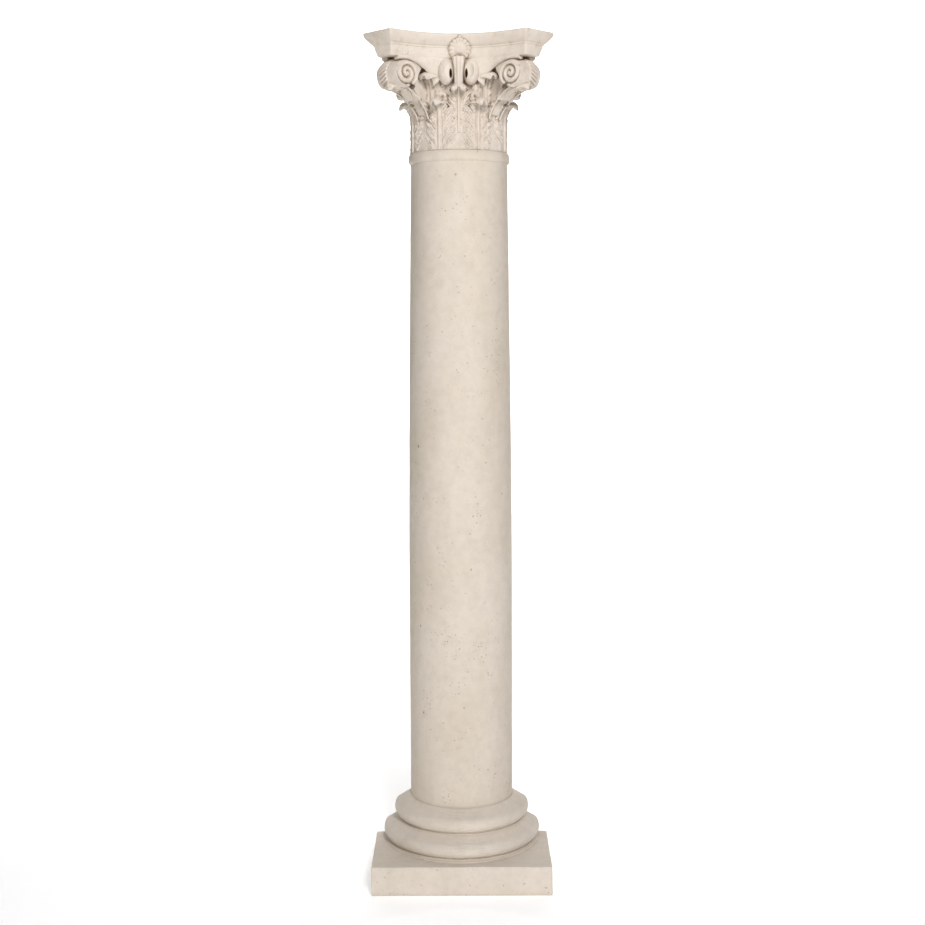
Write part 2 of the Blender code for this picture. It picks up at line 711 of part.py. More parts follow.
def make_flower(name, guides, turn):
    """The flower on the abacus: a ring of petals round a low heart, leaning outwards with the abacus."""
    spokes = FLOWER_PETALS * 2
    swing = Matrix.Rotation(turn, 3, "Z")
    middle_height = ABACUS_FOOT + FLOWER_RISE
    face = HOLLOW_REACH_BOTTOM + FLOWER_FACE

    def place(radius, angle, reach):
        up = radius * math.cos(angle)
        spot = Vector((FLOWER_ASIDE + radius * math.sin(angle), -reach - FLOWER_LEAN * up, middle_height + up))
        return swing @ spot + Vector((0.0, AXIS_Y, 0.0))

    rings = []
    for ring_share, proud in ((1.0, -1.3), (1.0, 0.40), (0.60, 0.80)):
        ring = []
        for n in range(spokes):
            petal = 1 - PETAL_NOTCH * (n % 2) * (ring_share > 0.5)
            ring.append(place(FLOWER_RADIUS * ring_share * petal, FULL_TURN * n / spokes, face + FLOWER_PROUD * proud))
        rings.append(ring)
    return loft(name, rings, guides, None, place(0.0, 0.0, face + FLOWER_PROUD))


def make_stalk(name, guides, turn):
    """The stalk that widens upwards between the helices."""
    around = 10
    swing = Matrix.Rotation(turn, 3, "Z")
    rings = []
    for height, width in (
        (HELIX_MIDDLE - 0.66 * HELIX_HEIGHT, STALK_FOOT_WIDTH),
        (HELIX_MIDDLE, (STALK_FOOT_WIDTH * 2 + STALK_TOP_WIDTH) / 3),
        (HELIX_MIDDLE + 0.47 * HELIX_HEIGHT, STALK_TOP_WIDTH),
    ):
        ring = []
        for n in range(around):
            angle = FULL_TURN * n / around
            spot = Vector((width / 2 * math.sin(angle), -HOLLOW_REACH_BOTTOM - STALK_DEPTH * math.cos(angle), height))
            ring.append(swing @ spot + Vector((0.0, AXIS_Y, 0.0)))
        rings.append(ring)
    return loft(name, rings, guides)


def make_faces(guides):
    """What repeats on the front and on both flanks: helices, stalk and flower, with the hollows and slots."""
    made = []
    taken = []
    reach = HOLLOW_REACH_BOTTOM
    for number, turn in enumerate((-math.pi / 2, 0.0, math.pi / 2)):
        for side in (-1, 1):
            middle = (side * HELIX_SIDE, HELIX_BACK - reach, HELIX_MIDDLE)
            size = (HELIX_WIDTH, HELIX_DEPTH, HELIX_HEIGHT)
            made.append(make_ball(f"helix_{number}_{side}", middle, size, guides, turn))
            hollow = (side * HELIX_HOLLOW_SIDE, -reach - HELIX_HOLLOW_PROUD, HELIX_MIDDLE)
            size = (HELIX_HOLLOW_WIDTH, HELIX_HOLLOW_DEPTH, 0.77 * HELIX_HEIGHT)
            taken.append(make_ball(f"hollow_{number}_{side}", hollow, size, guides, turn, 8, 5))
            slot = (side * SLOT_SIDE, -reach - SLOT_PROUD, HELIX_MIDDLE - 0.09 * HELIX_HEIGHT)
            size = (SLOT_WIDTH, SLOT_DEPTH, 0.37 * HELIX_HEIGHT)
            taken.append(make_ball(f"slot_{number}_{side}", slot, size, guides, turn, 6, 4))
        made.append(make_stalk(f"stalk_{number}", guides, turn))
        made.append(make_flower(f"flower_{number}", guides, turn))
    return made, taken


def main():
    clear_scene()
    parts = make_collection("corinthian_column")
    guides = make_collection("cutters")
    reach = TOTAL_HEIGHT
    cutter = make_block("behind_the_back", (-reach, BACK_Y, -reach), (reach, reach, 2 * reach), guides)
    make_base(parts, guides, cutter)
    make_shaft(parts, cutter)
    capital = turned("capital", bell_profile(), parts, steps=BELL_STEPS)
    faces, hollows = make_faces(guides)
    for carving in [make_abacus(guides)] + make_volutes(guides) + faces + make_leaves(guides):
        join_with(capital, carving, "UNION", "MANIFOLD")
    below = make_block("below_the_capital", (-reach, -reach, 0.0), (reach, reach, CAPITAL_FOOT), guides)
    for taken in hollows + [below, cutter]:
        join_with(capital, taken, "DIFFERENCE", "MANIFOLD")
    capital.data.materials.append(stone("capital_stone"))


main()
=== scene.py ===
import math
import random

import bmesh
import bpy
from mathutils import Matrix, Vector, noise


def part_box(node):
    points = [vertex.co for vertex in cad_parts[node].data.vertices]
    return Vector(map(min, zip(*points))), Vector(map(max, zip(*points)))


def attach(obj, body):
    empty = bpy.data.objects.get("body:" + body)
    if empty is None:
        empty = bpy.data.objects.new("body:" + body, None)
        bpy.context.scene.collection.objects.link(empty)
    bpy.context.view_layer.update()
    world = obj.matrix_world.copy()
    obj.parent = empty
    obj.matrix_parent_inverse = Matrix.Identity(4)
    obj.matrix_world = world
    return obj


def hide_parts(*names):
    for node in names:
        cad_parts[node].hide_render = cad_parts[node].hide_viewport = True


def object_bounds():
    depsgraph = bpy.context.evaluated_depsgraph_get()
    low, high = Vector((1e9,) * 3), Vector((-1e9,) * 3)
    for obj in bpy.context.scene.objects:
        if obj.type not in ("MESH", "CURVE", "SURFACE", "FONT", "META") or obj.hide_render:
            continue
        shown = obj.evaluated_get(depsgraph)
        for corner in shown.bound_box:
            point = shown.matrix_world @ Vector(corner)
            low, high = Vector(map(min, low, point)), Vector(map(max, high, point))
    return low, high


# The dressed half column: cast stone with a carved capital, worn arrises and air holes. Sizes are in metres.

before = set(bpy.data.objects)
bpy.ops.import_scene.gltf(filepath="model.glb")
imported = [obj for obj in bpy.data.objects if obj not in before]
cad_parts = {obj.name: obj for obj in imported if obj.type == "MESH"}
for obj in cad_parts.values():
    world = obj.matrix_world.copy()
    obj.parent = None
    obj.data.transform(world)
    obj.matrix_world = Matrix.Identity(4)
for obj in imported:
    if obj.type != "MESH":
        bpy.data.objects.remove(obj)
CAD_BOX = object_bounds()

# Driving dimensions, the same as the solids have.
BACK_BEHIND_AXIS = 0.022
BACK_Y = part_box("base")[1].y
AXIS_Y = BACK_Y - BACK_BEHIND_AXIS
PLINTH_WIDTH = 0.504
PLINTH_HEIGHT = 0.0835
PLINTH_DRAFT = 0.001
FOOT_RING_RADIUS = 0.2280
LOWER_TORUS_RADIUS = 0.2280
LOWER_TORUS_HEIGHT = 0.0645
UPPER_TORUS_RADIUS = 0.1960
UPPER_TORUS_HEIGHT = 0.0625
TORUS_WAIST_RADIUS = 0.1800
SHAFT_FOOT_RADIUS = 0.1500
SHAFT_NECK_RADIUS = 0.1365
SHAFT_STRAIGHT_SHARE = 0.36
ASTRAGAL_RADIUS = 0.1420
ASTRAGAL_HEIGHT = 0.0290
BELL_RADIUS = 0.1290
BELL_LIP_RADIUS = 0.1490
ABACUS_HEIGHT = 0.0615
HORN_SIDE = 0.1770
HORN_REACH_TOP = 0.2550
HORN_REACH_BOTTOM = 0.2165
HOLLOW_REACH_TOP = 0.1790
HOLLOW_REACH_BOTTOM = 0.1510

# Small forms of the base and the shaft.
PLINTH_ARRIS = 0.0028
TORUS_ROUND_SHARE = 0.56
TORUS_MIDDLE_SHARE = 0.36
TORUS_TOP_SHARE = 0.62
TORUS_FIRST_ANGLE = 70
TORUS_SWEEP = 135
TORUS_LEDGE = 0.0020
FOOT_RING_GROOVE = 0.0060
FOOT_RING_EDGE = 0.0020
FOOT_RING_DROP = 0.0005
FOOT_RING_RISE = 0.0010
SHAFT_SUNK = 0.0010
SHAFT_LIP_HEIGHT = 0.0035
SHAFT_LIP_ROUND = 0.0006
SHAFT_SWELLING = 1.35

# The leaves. Each rises straight to its bend, arches out to its reach and curls over.
# Angles are in degrees from the front.
LEAF_ROOT_THICKNESS = 0.0160
LEAF_TIP_THICKNESS = 0.0080
LOWER_LEAF_ANGLES = (-115.0, -69.0, -23.0, 23.0, 69.0, 115.0)
LOWER_LEAF_RADIUS = 0.1345
LOWER_LEAF_BEND = 0.0820
LOWER_LEAF_HEIGHT = 0.1320
LOWER_LEAF_REACH = 0.0240
LOWER_LEAF_WIDTH = 0.1160
UPPER_LEAF_ANGLES = (-90.0, 0.0, 90.0)
UPPER_LEAF_RISE = 0.0450
UPPER_LEAF_RADIUS = 0.1310
UPPER_LEAF_BEND = 0.0650
UPPER_LEAF_HEIGHT = 0.1240
UPPER_LEAF_REACH = 0.0250
UPPER_LEAF_WIDTH = 0.0940
CORNER_LEAF_ANGLES = (-45.0, 45.0)
CORNER_LEAF_BEND = 0.0050
CORNER_LEAF_HEIGHT = 0.1220
CORNER_LEAF_REACH = 0.1600
CORNER_LEAF_WIDTH = 0.0440
CORNER_LEAF_TURN = 76.0
CORNER_LEAF_DISH = 0.0080
CALYX_LEAF_ANGLES = (-58.0, -32.0, 32.0, 58.0)
CALYX_LEAF_RISE = 0.1050
CALYX_LEAF_RADIUS = 0.1360
CALYX_LEAF_BEND = 0.0400
CALYX_LEAF_HEIGHT = 0.0920
CALYX_LEAF_REACH = 0.0240
CALYX_LEAF_WIDTH = 0.0880
LEAF_TIP_CURL = 0.0085
LEAF_ROUND_SHARE = 0.26
LEAF_TIP_DROOP = 0.0110
CARVING_GRAIN = 0.0075
CARVING_DEPTH = 0.0030
VEIN_SLOPE = 0.42
VEIN_RISE = 1.25
VEIN_SPACING = 0.0105
VEIN_DEPTH = 0.0030
LEAFLETS = 3
MIDRIB_HEIGHT = 0.0045
MIDRIB_HALF_WIDTH = 0.0036
FLANK_DEPTH = 0.0026
FLANK_ASIDE = 0.0066
FLANK_HALF_WIDTH = 0.0026
LOBE_SWELL = 0.0014
LOBE_RISE = 0.0022
EYE_DEPTH = 0.0085
EYE_ASIDE = 0.72
EYE_HALF_WIDTH = 0.09
EYE_HALF_LENGTH = 0.07
RIM_DROP = 0.0022
FACE_ROUNDING = 0.0030
LEAF_SUNK = 0.004
BORDER_SIZE = 0.0025

# The volutes, helices and flower.
VOLUTE_FACE_RADIUS = 0.0350
VOLUTE_BAND_RADIUS = 0.0415
VOLUTE_SIDE = 0.1395
VOLUTE_REACH = 0.1940
VOLUTE_TURNED = 38.0
VOLUTE_DROP = 0.0450
VOLUTE_TURNS = 2.3
SPIRAL_ASIDE = 0.0050
SPIRAL_BAND_DEPTH = 0.0100
SPIRAL_CONE = 0.0080
SPIRAL_EYE_PROUD = 0.0135
BAND_SUNK = 0.004
FEATHER_DEPTH = 0.0050
FEATHER_SUNK = 0.0004
FEATHERS = 24
STEM_DROP = 0.0885
FLOWER_RADIUS = 0.0325
FLOWER_ASIDE = 0.0030
FLOWER_PETALS = 15
FLOWER_PROUD = 0.0150
FLOWER_LEAN = 0.45
FLOWER_RISE = 0.0215
FLOWER_SEAT = 0.008
FLOWER_DEPTH = 0.020
FLOWER_TIP_PROUD = 0.024
FLOWER_TIP_RISE = 0.052
FLOWER_TIP_SIZE = (0.0120, 0.0180, 0.0160)
STEM_INNER_END = 0.036
STEM_THICKNESS = 0.0100
STEM_SUNK = 0.001
STEM_END_DROP = 0.0105
STEM_TUCKED = 0.008
STALK_HALF_FOOT = 0.0115
STALK_FLARE = 0.0075
STALK_PROUD = 0.024
STALK_DROP = 0.046
STALK_HEIGHT = 0.080
HELIX_BELOW_ABACUS = 0.031
HELIX_ASIDE = 0.0330
HELIX_SUNK = 0.006
HELIX_DROP = 0.002
HELIX_SIZE = (0.0460, 0.0560, 0.0700)
HOLLOW_ASIDE = 0.0270
HOLLOW_PROUD = 0.027
HOLLOW_DROP = 0.003
HOLLOW_SIZE = (0.0320, 0.0340, 0.0540)
SLOT_ASIDE = 0.0210
SLOT_PROUD = 0.010
SLOT_DROP = 0.009
SLOT_SIZE = (0.0080, 0.0600, 0.0260)
GAP_ASIDE = 0.0450
GAP_PROUD = 0.150
GAP_DROP = 0.104
GAP_SIZE = (0.0075, 0.0500, 0.0150)
TIP_CURL_ASIDE = 0.0125
TIP_CURL_PROUD = 0.010
TIP_CURL_DROP = 0.0795
TIP_CURL_SIZE = (0.0180, 0.0240, 0.0130)

# The drilled hollows beside each volute, as a place across, a drop below the abacus and a size.
CORNER_HOLLOWS = (
    (0.1270, 0.0735, (0.0200, 0.1000, 0.0190)),
    (0.1275, 0.1165, (0.0170, 0.1500, 0.0150)),
)

CORNER_HOLLOW_PROUD = 0.150

# Wear, air holes and the faint level lines on the base's rings.
PLINTH_NET = 0.0060
PLINTH_NET_REACH = 0.260
ARRIS_WEAR_REACH = 0.012
ARRIS_WEAR = 0.0010
ARRIS_GRAIN = 0.022
NICK_DEPTH = 0.0050
NICK_GRAIN = 0.013
NICK_THRESHOLD = 0.25
FACE_WEAR = 0.0004
FACE_GRAIN = 0.05
RUN_LINE_LENGTH = 0.16
RUN_LINE_SPACING = 0.0065
RUN_LINE_DEPTH = 0.0014
RUN_LINE_WIDTH = 0.12
RUN_LINE_SPREAD = 0.8
BASE_PITS = 70
SHAFT_PITS = 420

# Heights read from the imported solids.
TOTAL_HEIGHT = CAD_BOX[1].z
BASE_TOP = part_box("base")[1].z
SHAFT_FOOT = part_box("shaft")[0].z
SHAFT_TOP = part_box("shaft")[1].z
CAPITAL_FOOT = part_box("capital")[0].z
ABACUS_FOOT = TOTAL_HEIGHT - ABACUS_HEIGHT
VOLUTE_HEIGHT = ABACUS_FOOT - VOLUTE_DROP
UPPER_TORUS_FOOT = BASE_TOP - UPPER_TORUS_HEIGHT
LOWER_TORUS_FOOT = UPPER_TORUS_FOOT - LOWER_TORUS_HEIGHT
HELIX_MIDDLE = ABACUS_FOOT - HELIX_BELOW_ABACUS

FULL_TURN = 2 * math.pi


# Closed lofts and joins


def closed_loft(name, rings, first_apex=None, last_apex=None):
    """A closed solid through rings with equal counts of points. An apex closes an end with a fan."""
    work = bmesh.new()
    count = len(rings[0])
    made = [[work.verts.new(p) for p in ring] for ring in rings]
    for ring, after in zip(made, made[1:]):
        for n in range(count):
            m = (n + 1) % count
            work.faces.new((ring[n], ring[m], after[m], after[n]))
    for ring, apex in ((made[0], first_apex), (made[-1], last_apex)):
        if apex is None:
            work.faces.new(ring)
            continue
        middle = work.verts.new(apex)
        for n in range(count):
            work.faces.new((ring[n], ring[(n + 1) % count], middle))
    bmesh.ops.recalc_face_normals(work, faces=work.faces)
    mesh = bpy.data.meshes.new(name)
    work.to_mesh(mesh)
    work.free()
    made = bpy.data.objects.new(name, mesh)
    bpy.context.scene.collection.objects.link(made)
    return made


def make_block(name, low, high):
    corners = [(low[0], low[1]), (high[0], low[1]), (high[0], high[1]), (low[0], high[1])]
    return closed_loft(name, [[Vector((x, y, z)) for x, y in corners] for z in (low[2], high[2])])


def carve(name, body, added, taken):
    """Joins the added solids to the body, takes the others away, and gives one closed mesh."""
    for other, operation in [(o, "UNION") for o in added] + [(o, "DIFFERENCE") for o in taken]:
        step = body.modifiers.new(other.name, "BOOLEAN")
        step.operation = operation
        step.solver = "MANIFOLD"
        step.object = other
    seen = body.evaluated_get(bpy.context.evaluated_depsgraph_get())
    mesh = bpy.data.meshes.new_from_object(seen)
    mesh.name = name
    for used in [body] + added + taken:
        bpy.data.objects.remove(used)
    mesh.materials.clear()
    mesh.shade_smooth()
    mesh.set_sharp_from_angle(angle=math.radians(38))
    piece = bpy.data.objects.new(name, mesh)
    bpy.context.scene.collection.objects.link(piece)
    return piece


def polar(angle, radius, height):
    """A point at an angle from the front, at a radius from the column's axis."""
    return Vector((radius * math.sin(angle), AXIS_Y - radius * math.cos(angle), height))


def turned_half(name, profile, columns, wear):
    """A profile of (radius, height) pairs turned round the front and closed by the flat back."""
    rings = []
    for radius, height in profile:
        reach = math.pi / 2 + math.asin(BACK_BEHIND_AXIS / radius)
        ring = []
        for column in range(columns + 1):
            angle = -reach + 2 * reach * column / columns
            ring.append(polar(angle, radius - wear(angle, radius, height), height))
        for end in (ring[0], ring[-1]):
            end.y = BACK_Y
        rings.append(ring)
    return closed_loft(name, rings)


def smooth_step(value):
    value = min(max(value, 0.0), 1.0)
    return value * value * (3 - 2 * value)


# Wear and air holes


def wear_field(size, depth, seed):
    """How far the cast surface lies back, from a soft noise of the given grain size."""

    def wear(angle, radius, height):
        place = Vector((angle * radius, height, seed)) / size
        return depth * (0.5 + 0.5 * noise.noise(place))

    return wear


def make_pits(name, spots):
    """Small rough hollows to take out of a surface, all in one mesh.

    A spot is a place, a size and a squash.
    """
    work = bmesh.new()
    for number, (place, size, squash) in enumerate(spots):
        made = bmesh.ops.create_icosphere(work, subdivisions=2, radius=size)
        for vert in made["verts"]:
            rough = 1 + 0.35 * noise.noise(vert.co / size * 1.3 + Vector((number * 7.0, 0.0, 0.0)))
            vert.co = Vector((vert.co.x * squash, vert.co.y, vert.co.z)) * rough + place
    mesh = bpy.data.meshes.new(name)
    work.to_mesh(mesh)
    work.free()
    made = bpy.data.objects.new(name, mesh)
    bpy.context.scene.collection.objects.link(made)
    return made


def scatter(chance, count, place_at, size_at, taken=None):
    """Places for pits that don't touch each other, from a seeded draw."""
    spots = list(taken or [])
    for _ in range(count):
        place = place_at(chance)
        size = size_at(chance)
        squash = chance.uniform(0.7, 1.5)
        if all((place - other).length > 2.2 * (size + reach) for other, reach, _ in spots):
            spots.append((place, size, squash))
    return spots


# The base


def torus_profile(radius, inner_top, inner_foot, foot, height, steps=14):
    """The outer side of a torus with a rounded edge and a sloping upper face, from top to bottom."""
    edge = radius - TORUS_ROUND_SHARE * (radius - inner_top)
    middle = foot + TORUS_MIDDLE_SHARE * height
    points = [(inner_top, foot + height)]
    for step in range(steps + 1):
        angle = math.radians(TORUS_FIRST_ANGLE - step * TORUS_SWEEP / steps)
        rise = (foot + height - middle) * TORUS_TOP_SHARE if angle > 0 else middle - foot
        points.append((edge + (radius - edge) * math.cos(angle), middle + rise * math.sin(angle)))
    points[-1] = (max(inner_foot, points[-1][0]), foot)
    return points


def with_steps(profile, longest):
    """Adds points so that no stretch of the profile is longer than the given length."""
    points = [profile[0]]
    for before, after in zip(profile, profile[1:]):
        length = math.dist(before, after)
        parts = max(1, math.ceil(length / longest))
        for part in range(1, parts + 1):
            share = part / parts
            points.append(tuple(a + (b - a) * share for a, b in zip(before, after)))
    return points


def base_profile():
    ledge = SHAFT_FOOT_RADIUS + TORUS_LEDGE
    upper = torus_profile(
        UPPER_TORUS_RADIUS, ledge, TORUS_WAIST_RADIUS, UPPER_TORUS_FOOT, UPPER_TORUS_HEIGHT
    )
    groove = FOOT_RING_RADIUS - FOOT_RING_GROOVE
    lower = torus_profile(
        LOWER_TORUS_RADIUS, TORUS_WAIST_RADIUS, groove, LOWER_TORUS_FOOT, LOWER_TORUS_HEIGHT
    )
    foot = [
        (FOOT_RING_RADIUS - FOOT_RING_EDGE, LOWER_TORUS_FOOT - FOOT_RING_DROP),
        (FOOT_RING_RADIUS, PLINTH_HEIGHT + FOOT_RING_RISE),
        (FOOT_RING_RADIUS, PLINTH_HEIGHT / 2),
    ]
    longest = 0.002
    return with_steps(upper + lower + foot, longest)


def make_plinth():
    """The plinth with softly rounded arrises, cut into a net fine enough to wear."""
    work = bmesh.new()
    bmesh.ops.create_cube(work, size=1.0)
    for corner in work.verts:
        half = PLINTH_WIDTH / 2 + (PLINTH_DRAFT if corner.co.z < 0 else 0.0)
        side = math.copysign(half, corner.co.x)
        depth = AXIS_Y - half if corner.co.y < 0 else BACK_Y
        corner.co = (side, depth, 0.0 if corner.co.z < 0 else PLINTH_HEIGHT)
    bmesh.ops.bevel(
        work, geom=list(work.edges), offset=PLINTH_ARRIS, segments=3, profile=0.5, affect="EDGES",
        clamp_overlap=True
    )
    reach = PLINTH_NET_REACH
    for axis, low, high in ((0, -reach, reach), (1, AXIS_Y - reach, BACK_Y), (2, 0.0, PLINTH_HEIGHT)):
        normal = [0.0, 0.0, 0.0]
        normal[axis] = 1.0
        for n in range(1, int((high - low) / PLINTH_NET)):
            spot = [0.0, 0.0, 0.0]
            spot[axis] = low + n * PLINTH_NET
            everything = work.verts[:] + work.edges[:] + work.faces[:]
            bmesh.ops.bisect_plane(work, geom=everything, plane_co=spot, plane_no=normal, dist=1e-5)
    front = AXIS_Y - PLINTH_WIDTH / 2
    other_noise = Vector((5.0, 1.0, 2.0))
    kept_flat = 0.001
    for vert in work.verts:
        place = vert.co.copy()
        sides = (PLINTH_WIDTH / 2 - abs(place.x), place.y - front, PLINTH_HEIGHT - place.z)
        nearest = sorted(max(side, 0.0) for side in sides)
        arris = smooth_step(1 - nearest[1] / ARRIS_WEAR_REACH)
        rough = 0.5 + 0.5 * noise.noise(place / ARRIS_GRAIN)
        nick = max(noise.noise(place / NICK_GRAIN + other_noise) - NICK_THRESHOLD, 0.0)
        worn = FACE_WEAR * (0.5 + 0.5 * noise.noise(place / FACE_GRAIN))
        depth = arris * (ARRIS_WEAR * rough + NICK_DEPTH * nick) + worn
        if place.y < BACK_Y - kept_flat and place.z > kept_flat:
            vert.co -= vert.normal * depth
    mesh = bpy.data.meshes.new("plinth")
    work.to_mesh(mesh)
    work.free()
    made = bpy.data.objects.new("plinth", mesh)
    bpy.context.scene.collection.objects.link(made)
    return made


def ring_wear(angle, radius, height):
    """The wear of the base's rings, with the faint level lines that a running mould leaves on their front."""
    soft = wear_field(size=0.045, depth=0.0008, seed=3.0)(angle, radius, height)
    place = Vector((angle * radius / RUN_LINE_LENGTH, height / RUN_LINE_SPACING, 8.0))
    line = max(1 - abs(noise.noise(place)) / RUN_LINE_WIDTH, 0.0)
    return soft + RUN_LINE_DEPTH * line * math.exp(-(angle / RUN_LINE_SPREAD) ** 2)


def make_base():
    plinth = make_plinth()
    rings = turned_half("rings", base_profile(), 160, ring_wear)
    chance = random.Random(11)
    aside = 0.25
    lowest = 0.004
    torus_middle = 0.024
    torus_spread = 0.006

    def place_at(draw):
        if draw.random() < 0.5:
            across = draw.uniform(-aside, aside)
            return Vector((across, AXIS_Y - PLINTH_WIDTH / 2, draw.uniform(lowest, PLINTH_HEIGHT)))
        angle = draw.uniform(-1.3, 1.3)
        height = LOWER_TORUS_FOOT + torus_middle + draw.gauss(0, torus_spread)
        return polar(angle, LOWER_TORUS_RADIUS, height)

    def size_at(draw):
        return draw.uniform(0.0010, 0.0026)

    pits = make_pits("base_pits", scatter(chance, BASE_PITS, place_at, size_at))
    return carve("cast_base", plinth, [rings], [pits])


# The shaft


def shaft_radius(share):
    """Radius at a share of the shaft's height: straight below, then a gentle swelling inwards."""
    if share <= SHAFT_STRAIGHT_SHARE:
        return SHAFT_FOOT_RADIUS
    run = (share - SHAFT_STRAIGHT_SHARE) / (1 - SHAFT_STRAIGHT_SHARE)
    return SHAFT_FOOT_RADIUS + (SHAFT_NECK_RADIUS - SHAFT_FOOT_RADIUS) * run**SHAFT_SWELLING


def shaft_profile():
    neck = SHAFT_TOP - ASTRAGAL_HEIGHT
    bulge = ASTRAGAL_RADIUS - SHAFT_NECK_RADIUS
    points = [(SHAFT_NECK_RADIUS - SHAFT_SUNK, SHAFT_TOP)]
    steps = 12
    for step in range(steps + 1):
        angle = math.radians(80 - step * 160 / steps)
        height = neck + ASTRAGAL_HEIGHT / 2 * (1 + math.sin(angle))
        points.append((SHAFT_NECK_RADIUS + bulge * math.cos(angle), height))
    points.append((SHAFT_NECK_RADIUS - SHAFT_LIP_ROUND, neck - 0.001))
    levels = 130
    lip_top = SHAFT_FOOT + SHAFT_LIP_HEIGHT
    for level in range(1, levels + 1):
        share = 1 - level / levels
        height = lip_top + share * (neck - lip_top)
        points.append((shaft_radius(share) - SHAFT_SUNK, height))
    points.append((SHAFT_FOOT_RADIUS, lip_top - SHAFT_LIP_ROUND))
    points.append((SHAFT_FOOT_RADIUS, SHAFT_FOOT))
    return points


def shaft_surface(angle, height):
    share = (height - SHAFT_FOOT) / (SHAFT_TOP - ASTRAGAL_HEIGHT - SHAFT_FOOT)
    return polar(angle, shaft_radius(min(max(share, 0.0), 1.0)) - SHAFT_SUNK, height)


def make_shaft():
    body = turned_half("shaft_body", shaft_profile(), 150, wear_field(size=0.070, depth=0.0008, seed=9.0))
    chance = random.Random(4)

    margin = 0.02

    def place_at(draw):
        angle = draw.uniform(-1.45, 1.45) if draw.random() < 0.45 else draw.gauss(0.05, 0.32)
        return shaft_surface(angle, draw.uniform(SHAFT_FOOT + margin, SHAFT_TOP - ASTRAGAL_HEIGHT - margin))

    def size_at(draw):
        return 0.0008 + 0.0016 * draw.random() ** 2.5

    # The holes that show best, as a height, an angle from the front and a size.
    named = [
        (1.240, -0.93, 0.0042), (1.105, 0.92, 0.0036), (0.900, 0.20, 0.0030), (0.730, -0.88, 0.0036),
        (0.480, -0.80, 0.0040), (0.505, 0.05, 0.0030), (1.985, -0.07, 0.0030), (0.960, -0.45, 0.0026),
    ]
    spots = [(shaft_surface(angle, height), size, 1.0) for height, angle, size in named]
    pits = make_pits("shaft_pits", scatter(chance, SHAFT_PITS, place_at, size_at, spots))
    return carve("cast_shaft", body, [], [pits])


# The capital's leaves


def leaf_spine(radius, foot, bend, height, reach, turn, steps):
    """The leaf's middle line: straight up, out along part of an oval, and over in a curl at the tip.

    Gives a radius, a height and the direction of travel from upright at evenly spaced steps.
    """
    fine = 60
    line = [(radius, foot)]
    for n in range(fine + 1):
        angle = math.radians(turn) * n / fine
        line.append((radius + reach * (1 - math.cos(angle)), foot + bend + (height - bend) * math.sin(angle)))
    (out, up), (before_out, before_up) = line[-1], line[-2]
    heading = math.atan2(out - before_out, up - before_up)
    curl_end = math.radians(165)
    for n in range(1, fine + 1):
        angle = heading + (curl_end - heading) * n / fine
        line.append((
            out + LEAF_TIP_CURL * (math.cos(heading) - math.cos(angle)),
            up + LEAF_TIP_CURL * (math.sin(angle) - math.sin(heading)),
        ))
    lengths = [0.0]
    for before, after in zip(line, line[1:]):
        lengths.append(lengths[-1] + math.dist(before, after))
    points = []
    piece = 0
    for step in range(steps + 1):
        travelled = lengths[-1] * step / steps
        while piece < len(line) - 2 and lengths[piece + 1] < travelled:
            piece += 1
        (out, up), (next_out, next_up) = line[piece], line[piece + 1]
        share = (travelled - lengths[piece]) / (lengths[piece + 1] - lengths[piece])
        direction = math.atan2(next_out - out, next_up - up)
        points.append((out + (next_out - out) * share, up + (next_up - up) * share, direction, travelled))
    return points


def leaf_width(along, width, lobes, taper):
    """Half the leaf's width at a share of its length, drawn in between its lobes and rounded at its tip."""
    fullness = 0.90 + 0.10 * math.sin(math.pi * min(along / 0.6, 1.0))
    narrowing = 1.0 - (1.0 - taper) * max((along - 0.50) / 0.50, 0.0) ** 1.7
    phase = lobes * (along - VEIN_SLOPE)
    notch = (0.5 + 0.5 * math.cos(FULL_TURN * phase)) ** 3
    points = abs(math.sin(math.pi * LEAFLETS * phase))
    near_tip = max(along - 1 + LEAF_ROUND_SHARE, 0.0) / LEAF_ROUND_SHARE
    rounding = math.sqrt(max(1 - 0.96 * near_tip**2.4, 0.0))
    return width / 2 * fullness * narrowing * rounding * (1 - 0.17 * notch) * (0.92 + 0.08 * points)


def leaf_relief(across, along, half_width, lobes, travelled, dish):
    """How far the leaf's face stands out: a midrib, lobes with a deep eye between them, and cut veins."""
    side = abs(across)
    sideways = side * half_width
    lobe = lobes * (along - VEIN_SLOPE * side)
    nearest = abs(lobe - round(lobe))
    rib = 0.0
    flank = 0.0
    if dish == 0:
        rib = MIDRIB_HEIGHT * math.exp(-((sideways / MIDRIB_HALF_WIDTH) ** 4))
        flank = FLANK_DEPTH * math.exp(-(((sideways - FLANK_ASIDE) / FLANK_HALF_WIDTH) ** 2))
    swell = LOBE_SWELL * math.sin(math.pi * side)
    swell += LOBE_RISE * smooth_step(nearest * 3.4) * smooth_step(side * 2.5)
    stroke = (travelled - VEIN_RISE * sideways) / VEIN_SPACING
    cut = VEIN_DEPTH * (1 - abs(math.sin(math.pi * stroke))) ** 1.6 * smooth_step((side - 0.12) * 5)
    eye_across = (side - EYE_ASIDE) / EYE_HALF_WIDTH
    eye = EYE_DEPTH * math.exp(-(eye_across**2) - (nearest / EYE_HALF_LENGTH) ** 2)
    rim = RIM_DROP * side**8
    hollow = dish * (1 - side**2)
    tired = 1 - 0.45 * smooth_step((along - 0.84) / 0.16)
    return (rib - flank + swell - cut - eye - rim - hollow - FACE_ROUNDING * side**2) * tired


